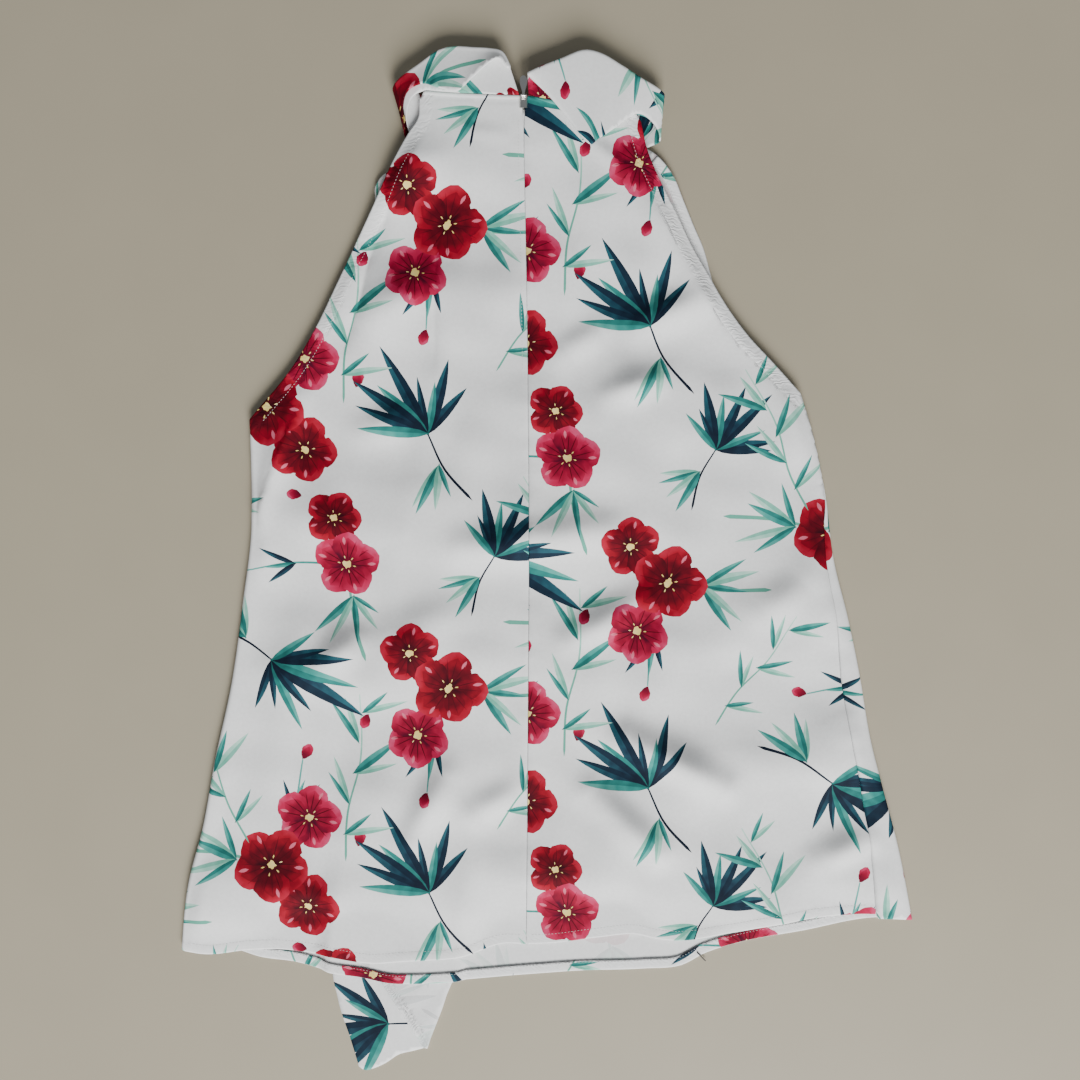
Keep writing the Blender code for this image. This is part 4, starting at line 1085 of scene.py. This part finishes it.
guides = guideLines(armRightLine, armBends, -1) + guideLines(centreLine, seamBends, 1)
guides += guideLines(backHemLine, hemBends, 1) + guideLines(sideSeamLine, (0.8, 1.7), -1)
guides += guideLines(neckLines[1], neckBends, -1)
cut = printedCut(backRightOutline(), backSteps, guides, (138.0, -26.0))
backRight, area = clothPiece("backRight", cut, placeBackRight, body["cloth"], False, bothFaces, backHems)
declare(backRight, "printed_crepe", "back_right")
print("back laid")

# The front

guides = guideLines(frontHemLine, (0.9, 6.0, 6.6, 7.4), 1) + bendLines(frontLeftEdge, -1, -265, 116, 1.2)
guides += bendLines(rightEdge, 1, -245, 128, 1.2, 8, lambda y: rightEdge(y)[3])
# Its printed face lies on the floor, so the finest lines are left out
cut = printedCut(frontOutline(), (8.0, 4.0), guides, (-70.0, 130.0), without=("vein", "gleam"))
front, frontArea = clothPiece("frontPanel", cut, placeFront, body["cloth"], True, bothFaces)
declare(front, "printed_crepe", "front")
print("front laid")


# Allowances that are turned in and lie on the front's inside, so they show the printed face


# A strip beside the front's edge. It drops to the front where it is folded
def allowance(name, line, side, width, offset):
    outer, inner = guideLines(line, (0.3, width), side)
    guides = [offsetLine(line, side * share * width) for share in (0.12, 0.3, 0.55, 0.8)]
    shapes = printOver(outer.min(0) - 9, outer.max(0) + 9, offset)
    cut = cutCloth(np.concatenate([outer, inner[::-1]]), 2.4, shapes, guides)

    def place(x, y):
        distance, along = nearLine(line, x, y)
        wave = 0.1 * np.sin(along / 1.1 + 2.0 * np.sin(along / 9.0)) * ease(distance / width)
        z = frontLevel(x, y) + sewing["allowanceLift"] - 0.3 * np.exp(-((distance / 0.8) ** 2)) + wave
        return np.column_stack([x, y, z])

    strip, area = clothPiece(name, cut, place, body["cloth"], False, bothFaces, [(line, width, 0.6)])
    declare(strip, "printed_crepe")
    return strip, area


hemSpan = between(frontHemLine, 0, -244.0, 226.0)
hemStrip, hemArea = allowance("frontHemAllowance", hemSpan, 1, sewing["frontHem"], (30.0, -210.0))
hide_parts("front_hem")
armFrontRight = between(fineLine(body["frontArmholeRight"]), 1, 128.0, 283.0)
facingRight, rightArea = allowance("facingRight", armFrontRight, -1, sewing["facing"], (90.0, 20.0))
armFrontLeft = between(fineLine(body["frontArmholeLeft"]), 1, 120.0, 281.0)
facingLeft, leftArea = allowance("facingLeft", armFrontLeft, 1, sewing["facing"], (10.0, 40.0))
area = frontArea + hemArea + rightArea + leftArea


def hemInside(x, y):
    return frontLevel(x, y) + sewing["allowanceTop"]


# A thin thread along points, with six sides and closed ends
def thread(name, points, radius, wobble=0.0):
    points = np.array(points, float)
    ahead = np.gradient(points, axis=0)
    ahead = ahead / np.linalg.norm(ahead, axis=1)[:, None]
    side = np.cross(ahead, (0, 0, 1.0))
    side = side / np.linalg.norm(side, axis=1)[:, None]
    up = np.cross(side, ahead)
    size = radius * (1 + wobble * np.sin(np.arange(len(points)) * 2.1))[:, None]
    rings = [points + size * (side * math.cos(a) + up * math.sin(a)) for a in np.arange(6) * math.pi / 3]
    verts = np.stack(rings, axis=1).reshape(-1, 3)
    faces = [[i * 6 + k, i * 6 + (k + 1) % 6, i * 6 + 6 + (k + 1) % 6, i * 6 + 6 + k]
             for i in range(len(points) - 1) for k in range(6)]
    last = (len(points) - 1) * 6
    faces += [[5, 4, 3, 2, 1, 0], [last + k for k in range(6)]]
    mesh = bpy.data.meshes.new(name)
    mesh.from_pydata((verts * mm).tolist(), [], faces)
    bm = bmesh.new()
    bm.from_mesh(mesh)
    bmesh.ops.recalc_face_normals(bm, faces=bm.faces)
    bm.to_mesh(mesh)
    bm.free()
    declare(plainObject(name, mesh, darkLineMaterial), "crepe_inside")


# A thin dark line drawn along the turned-in allowance's raw edge
allowanceEdgeRun = offsetLine(hemSpan, sewing["frontHem"] - 0.1)
thread("allowanceDarkLine", np.column_stack([allowanceEdgeRun, hemInside(*allowanceEdgeRun.T)]), 0.2, 0.25)
tick = np.column_stack([np.linspace(105.6, 111.6, 7), np.linspace(-269.4, -275.6, 7)])
thread("threadEnd", np.column_stack([tick, frontLevel(*tick.T) + 1.3]), 0.4)
print("allowances turned in")

# The neckband

bandAt = np.linspace(0, len(collar["stations"]) - 1, 481)
bandRows = stationRows(bandAt)
bandRoll = (collar["fallRadius"] - collar["standRadius"]) / 2
bandBase, bandTop, bandEdge = bandRows[:, 1:3], bandRows[:, 3:5], bandRows[:, 5:7]
bandUp = (bandTop - bandBase) / np.linalg.norm(bandTop - bandBase, axis=1)[:, None]
bandCrest = bandTop - bandUp * bandRoll
bandRun = runOf(bandPlace(bandAt, bandCrest, collar["middle"] * 0.6))
standLength = np.linalg.norm(bandCrest - bandBase, axis=1)
fallLength = np.linalg.norm(bandEdge - bandCrest, axis=1)
rollHalf = math.pi * bandRoll / 2


# a runs along the band, b across it: the roll is in the middle, the stand below, the fall above
def placeBand(a, b):
    at = np.interp(a, bandRun, bandAt)

    def along(rows):
        return np.column_stack([np.interp(a, bandRun, rows[:, k]) for k in range(rows.shape[1])])

    base, crest, edge, up = along(bandBase), along(bandCrest), along(bandEdge), along(bandUp)
    standShare = np.clip((-b - rollHalf) / np.interp(a, bandRun, standLength), 0, 1)[:, None]
    fallShare = np.clip((b - rollHalf) / np.interp(a, bandRun, fallLength), 0, 1)[:, None]
    turnShare = np.clip((b + rollHalf) / (2 * rollHalf), 0, 1)
    rolled = crest + up * (bandRoll * np.sin(math.pi * turnShare))[:, None]
    plan = np.where(b[:, None] < -rollHalf, crest + (base - crest) * standShare, rolled)
    plan = np.where(b[:, None] > rollHalf, crest + (edge - crest) * fallShare, plan)
    radius = collar["standRadius"] + bandRoll * (1 - np.cos(math.pi * turnShare))
    radius = radius + 0.3 * noiseAt(a, b, 34.0, 11) * fallShare[:, 0]
    placed = bandPlace(at, plan, radius)
    onBack = np.maximum(np.cos(np.radians(stationRows(at)[:, 0])), 0)
    drape = np.array(collar["drape"])
    droop, sink, rise = [np.interp(at, drape[:, 0], drape[:, k]) for k in (1, 2, 3)]
    lower = droop * fallShare[:, 0] ** 1.4 + sink * (1 - fallShare[:, 0]) * turnShare
    placed[:, 2] += (rise * (1 - standShare[:, 0]) * (1 - turnShare) - lower) * onBack
    return placed


lower = np.column_stack([bandRun, -rollHalf - standLength])[::3]
upper = np.column_stack([bandRun, rollHalf + fallLength])[::3]
guideA = bandRun[::4]
guides = [np.column_stack([guideA, np.full(len(guideA), b)]) for b in np.linspace(-rollHalf, rollHalf, 7)]
cut = printedCut(np.concatenate([lower, upper[::-1]]), (4.0, 2.2), guides, (40.0, -60.0), 0.3)
band, area = clothPiece("foldedBand", cut, placeBand, collar["cloth"], False, [printedCrepe])
declare(band, "printed_crepe", "neckband")
print("neckband folded")


# The tie


# Straight end, radius, angle and corner of the tie's right edge at y
def tieEdge(y):
    right, corner = readByY(tie["rows"], y, 2), readByY(tie["rows"], y, 4)
    angle = np.radians(readByY(tie["rows"], y, 3))
    radius = np.where(angle > 0.01, tie["roll"], 1.0)
    return right - radius * np.sin(np.minimum(angle, math.pi / 2)), radius, angle, corner


def placeTie(x, y):
    end, radius, angle, corner = tieEdge(y)
    out = np.maximum(x - end, 0) * (angle > 0)
    reach, z = bendRound(out, radius, angle, np.full_like(x, tie["level"]), 1)
    fromFree = np.maximum(radius * angle + corner - out, 0)
    onTop = ease((z - 1.2) / 1.0) * (corner > 1.0)
    lifted = onTop * ease((-284.0 - y) / 8.0) * (0.35 + 0.25 * noiseAt(x, y, 30.0, 21))
    hem = onTop * 0.5 * (1 - ease((fromFree - tie["hemWidth"]) / 0.8)) * (1 + 0.2 * np.sin(y * 3.1))
    hem = hem - onTop * 0.25 * np.exp(-((fromFree / 0.5) ** 2))
    return np.column_stack([np.where(out > 0, end + reach, x), y, z + lifted + hem])


def tieOutline():
    join = stationRows(np.linspace(*collar["tieJoin"], 41))[:, 5:7] - (0, 0.4)
    rows = np.array(tie["rows"])
    left = fineLine(rows[1:-1, 1::-1], 3.0)
    y = np.linspace(-337.0, 226.0, 330)
    end, radius, angle, corner = tieEdge(y)
    edge = np.column_stack([end + radius * angle + corner, y])
    bottom = fineLine(tie["end"], 3.0)
    return np.concatenate([bottom[:-1], edge, join[::-1], left])


guides = bendLines(tieEdge, 1, -337.0, -226.0, 0.6, 6, lambda y: tieEdge(y)[3])
freeY = np.arange(-336.0, -240.0, 2.0)
end, radius, angle, corner = tieEdge(freeY)
cornerX = end + radius * angle + corner
guides += [np.column_stack([cornerX - d, freeY]) for d in (0.6, 3.2, 4.2, 5.4)]
cut = printedCut(tieOutline(), (6.0, 3.0), guides, (-508.0, -46.0), 1.2)
cornerEdge = np.column_stack([cornerX, freeY])[::-1]
neckTie, area = clothPiece("neckTie", cut, placeTie, body["cloth"], False, bothFaces, [(cornerEdge, 2.6, 0.8)])
declare(neckTie, "printed_crepe", "neck_tie")
print("tie laid")


# The zip's tape

zipTape = {
    "width": 20.0,
    "top": 312.0,
    "length": 180.0,
    "wall": 0.5,
    "depth": 0.85,  # under the back, between their middles
    "tooth": (0.8, 2.8, 0.7),  # along the zip, across it and high
    "toothEvery": 1.4,
}


def placeTape(x, y):
    return np.column_stack([x, y, backLevel(x, y) - zipTape["depth"]])


tapeY = np.linspace(zipTape["top"], zipTape["top"] - zipTape["length"], 60)
tapeX = np.interp(tapeY, centreLine[::-1, 1], centreLine[::-1, 0])
sides = [np.column_stack([tapeX + side * zipTape["width"] / 2, tapeY]) for side in (-1, 1)]
cut = cutCloth(np.concatenate([sides[0], sides[1][::-1]]), 4.0, [])
tape, area = clothPiece("zipTape", cut, placeTape, zipTape["wall"], False, [tapeMaterial])
declare(tape, "zip_tape", "zip_tape")

for name in ("zip_slider", "zip_pull"):
    node = frame["nodes"][name]
    if not node.material_slots:
        node.data.materials.append(None)
    for slot in node.material_slots:
        slot.link = "OBJECT"
        slot.material = metalMaterial
print("zip placed")


# Stitches


# Small rounded bodies along a line, each with its length, width and height: stitches, or a zip's teeth
def rowOf(name, line, level, size, every, surface, slot):
    length, width, height = size
    run = runOf(line)
    bm = bmesh.new()
    at = np.arange(1.5, run[-1] - 1.5, every)
    ends = []
    for shift in (-length / 2, length / 2):
        x, y = np.interp(at + shift, run, line[:, 0]), np.interp(at + shift, run, line[:, 1])
        ends.append(np.column_stack([x, y, level(x, y)]))
    for start, end in zip(*ends):
        start, end = Vector(start), Vector(end)
        middle, ahead = (start + end) / 2, (end - start).normalized()
        side = Vector((0, 0, 1)).cross(ahead).normalized()
        turn = Matrix((ahead, side, ahead.cross(side))).transposed().to_4x4()
        scale = Matrix.Diagonal((length / 2, width / 2, height / 2, 1))
        place = Matrix.Scale(mm, 4) @ Matrix.Translation(middle) @ turn @ scale
        bmesh.ops.create_uvsphere(bm, u_segments=6, v_segments=4, radius=1.0, matrix=place)
    mesh = bpy.data.meshes.new(name)
    bm.to_mesh(mesh)
    bm.free()
    declare(plainObject(name, mesh, surface), slot)


def stitchRow(name, line, level):
    rowOf(name, line, level, sewing["stitch"], sewing["stitchEvery"], threadMaterial, "crepe_inside")


def backTop(x, y):
    return backLevel(x, y) + body["cloth"] / 2 + sewing["proud"]


armStitch = sewing["armholeStitch"]
stitchRow("stitchesArmLeft", offsetLine(armLeftLine, armStitch)[6:-3], backTop)
stitchRow("stitchesArmRight", offsetLine(armRightLine, -armStitch)[6:-3], backTop)
hemInner = offsetLine(backHemLine, sewing["hemStitch"])
stitchRow("stitchesHemLeft", between(hemInner, 0, -250, -16), backTop)
stitchRow("stitchesHemRight", between(hemInner, 0, -12, 226), backTop)
stitchRow("stitchesZip", between(offsetLine(centreLine, -sewing["zipStitch"]), 1, 135, 306), backTop)


# The closed teeth hang under the tape, on the garment's inside
def underTape(x, y):
    return placeTape(x, y)[:, 2] - (zipTape["wall"] + zipTape["tooth"][2]) / 2 + 0.1


teethLine = between(centreLine, 1, 134, 300)
rowOf("zipTeeth", teethLine, underTape, zipTape["tooth"], zipTape["toothEvery"], teethMaterial, "zip_tape")

stitchRow("stitchesFrontHem", offsetLine(hemSpan, 5.9), hemInside)
stitchRow("stitchesFacing", offsetLine(armFrontRight, -5.8), hemInside)
cornerStitch = placeTie(cornerEdge[:, 0] - 2.5, cornerEdge[:, 1])[4:-4]
upwards = cornerStitch[np.argsort(cornerStitch[:, 1])]


def tieTop(x, y):
    return np.interp(y, upwards[:, 1], upwards[:, 2]) + body["cloth"] / 2 + sewing["proud"]


stitchRow("stitchesTie", cornerStitch[:, :2], tieTop)
print("stitches sewn")


# Room

room = {
    "floor": (0.38, 0.335, 0.242),
    "camera": (-4.8, 49.4, 749.4),
    "tilt": -2.2,
    "lens": 36.0,
    "sensor": 36.0,
    "floorHalf": 12.0,  # metres
    "floorDrop": 0.06,
    "keyPlace": (0.75, -3.4, 2.35),
    "keySize": 2.1,
    "keyPower": 372.0,
    "sky": (0.90, 0.95, 1.0),
    "skyStrength": 0.25,
}

bm = bmesh.new()
bmesh.ops.create_grid(bm, x_segments=1, y_segments=1, size=room["floorHalf"])
bmesh.ops.translate(bm, verts=bm.verts, vec=(0.0, 0.0, -room["floorDrop"] * mm))
floorMesh = bpy.data.meshes.new("floor")
bm.to_mesh(floorMesh)
bm.free()
floorMesh.materials.append(plainMaterial("floor", room["floor"], 0.6, grainScale=14.0, grainStrength=0.0))
newObject("floor", floorMesh)

keyLight = bpy.data.lights.new("key", "AREA")
keyLight.size = room["keySize"]
keyLight.energy = room["keyPower"]
key = newObject("key", keyLight)
key.location = room["keyPlace"]
key.rotation_euler = (-Vector(room["keyPlace"])).to_track_quat("-Z", "Y").to_euler()

world = bpy.data.worlds.new("sky")
world.use_nodes = True
sky = world.node_tree.nodes["Background"].inputs
sky["Color"].default_value = (*room["sky"], 1)
sky["Strength"].default_value = room["skyStrength"]
bpy.context.scene.world = world

lensData = bpy.data.cameras.new("camera")
lensData.lens = room["lens"]
lensData.sensor_width = room["sensor"]
lensData.clip_start = 0.05
camera = newObject("camera", lensData)
camera.location = Vector(room["camera"]) * mm
camera.rotation_euler = (math.radians(room["tilt"]), 0, 0)
bpy.context.scene.camera = camera
print("room lit")
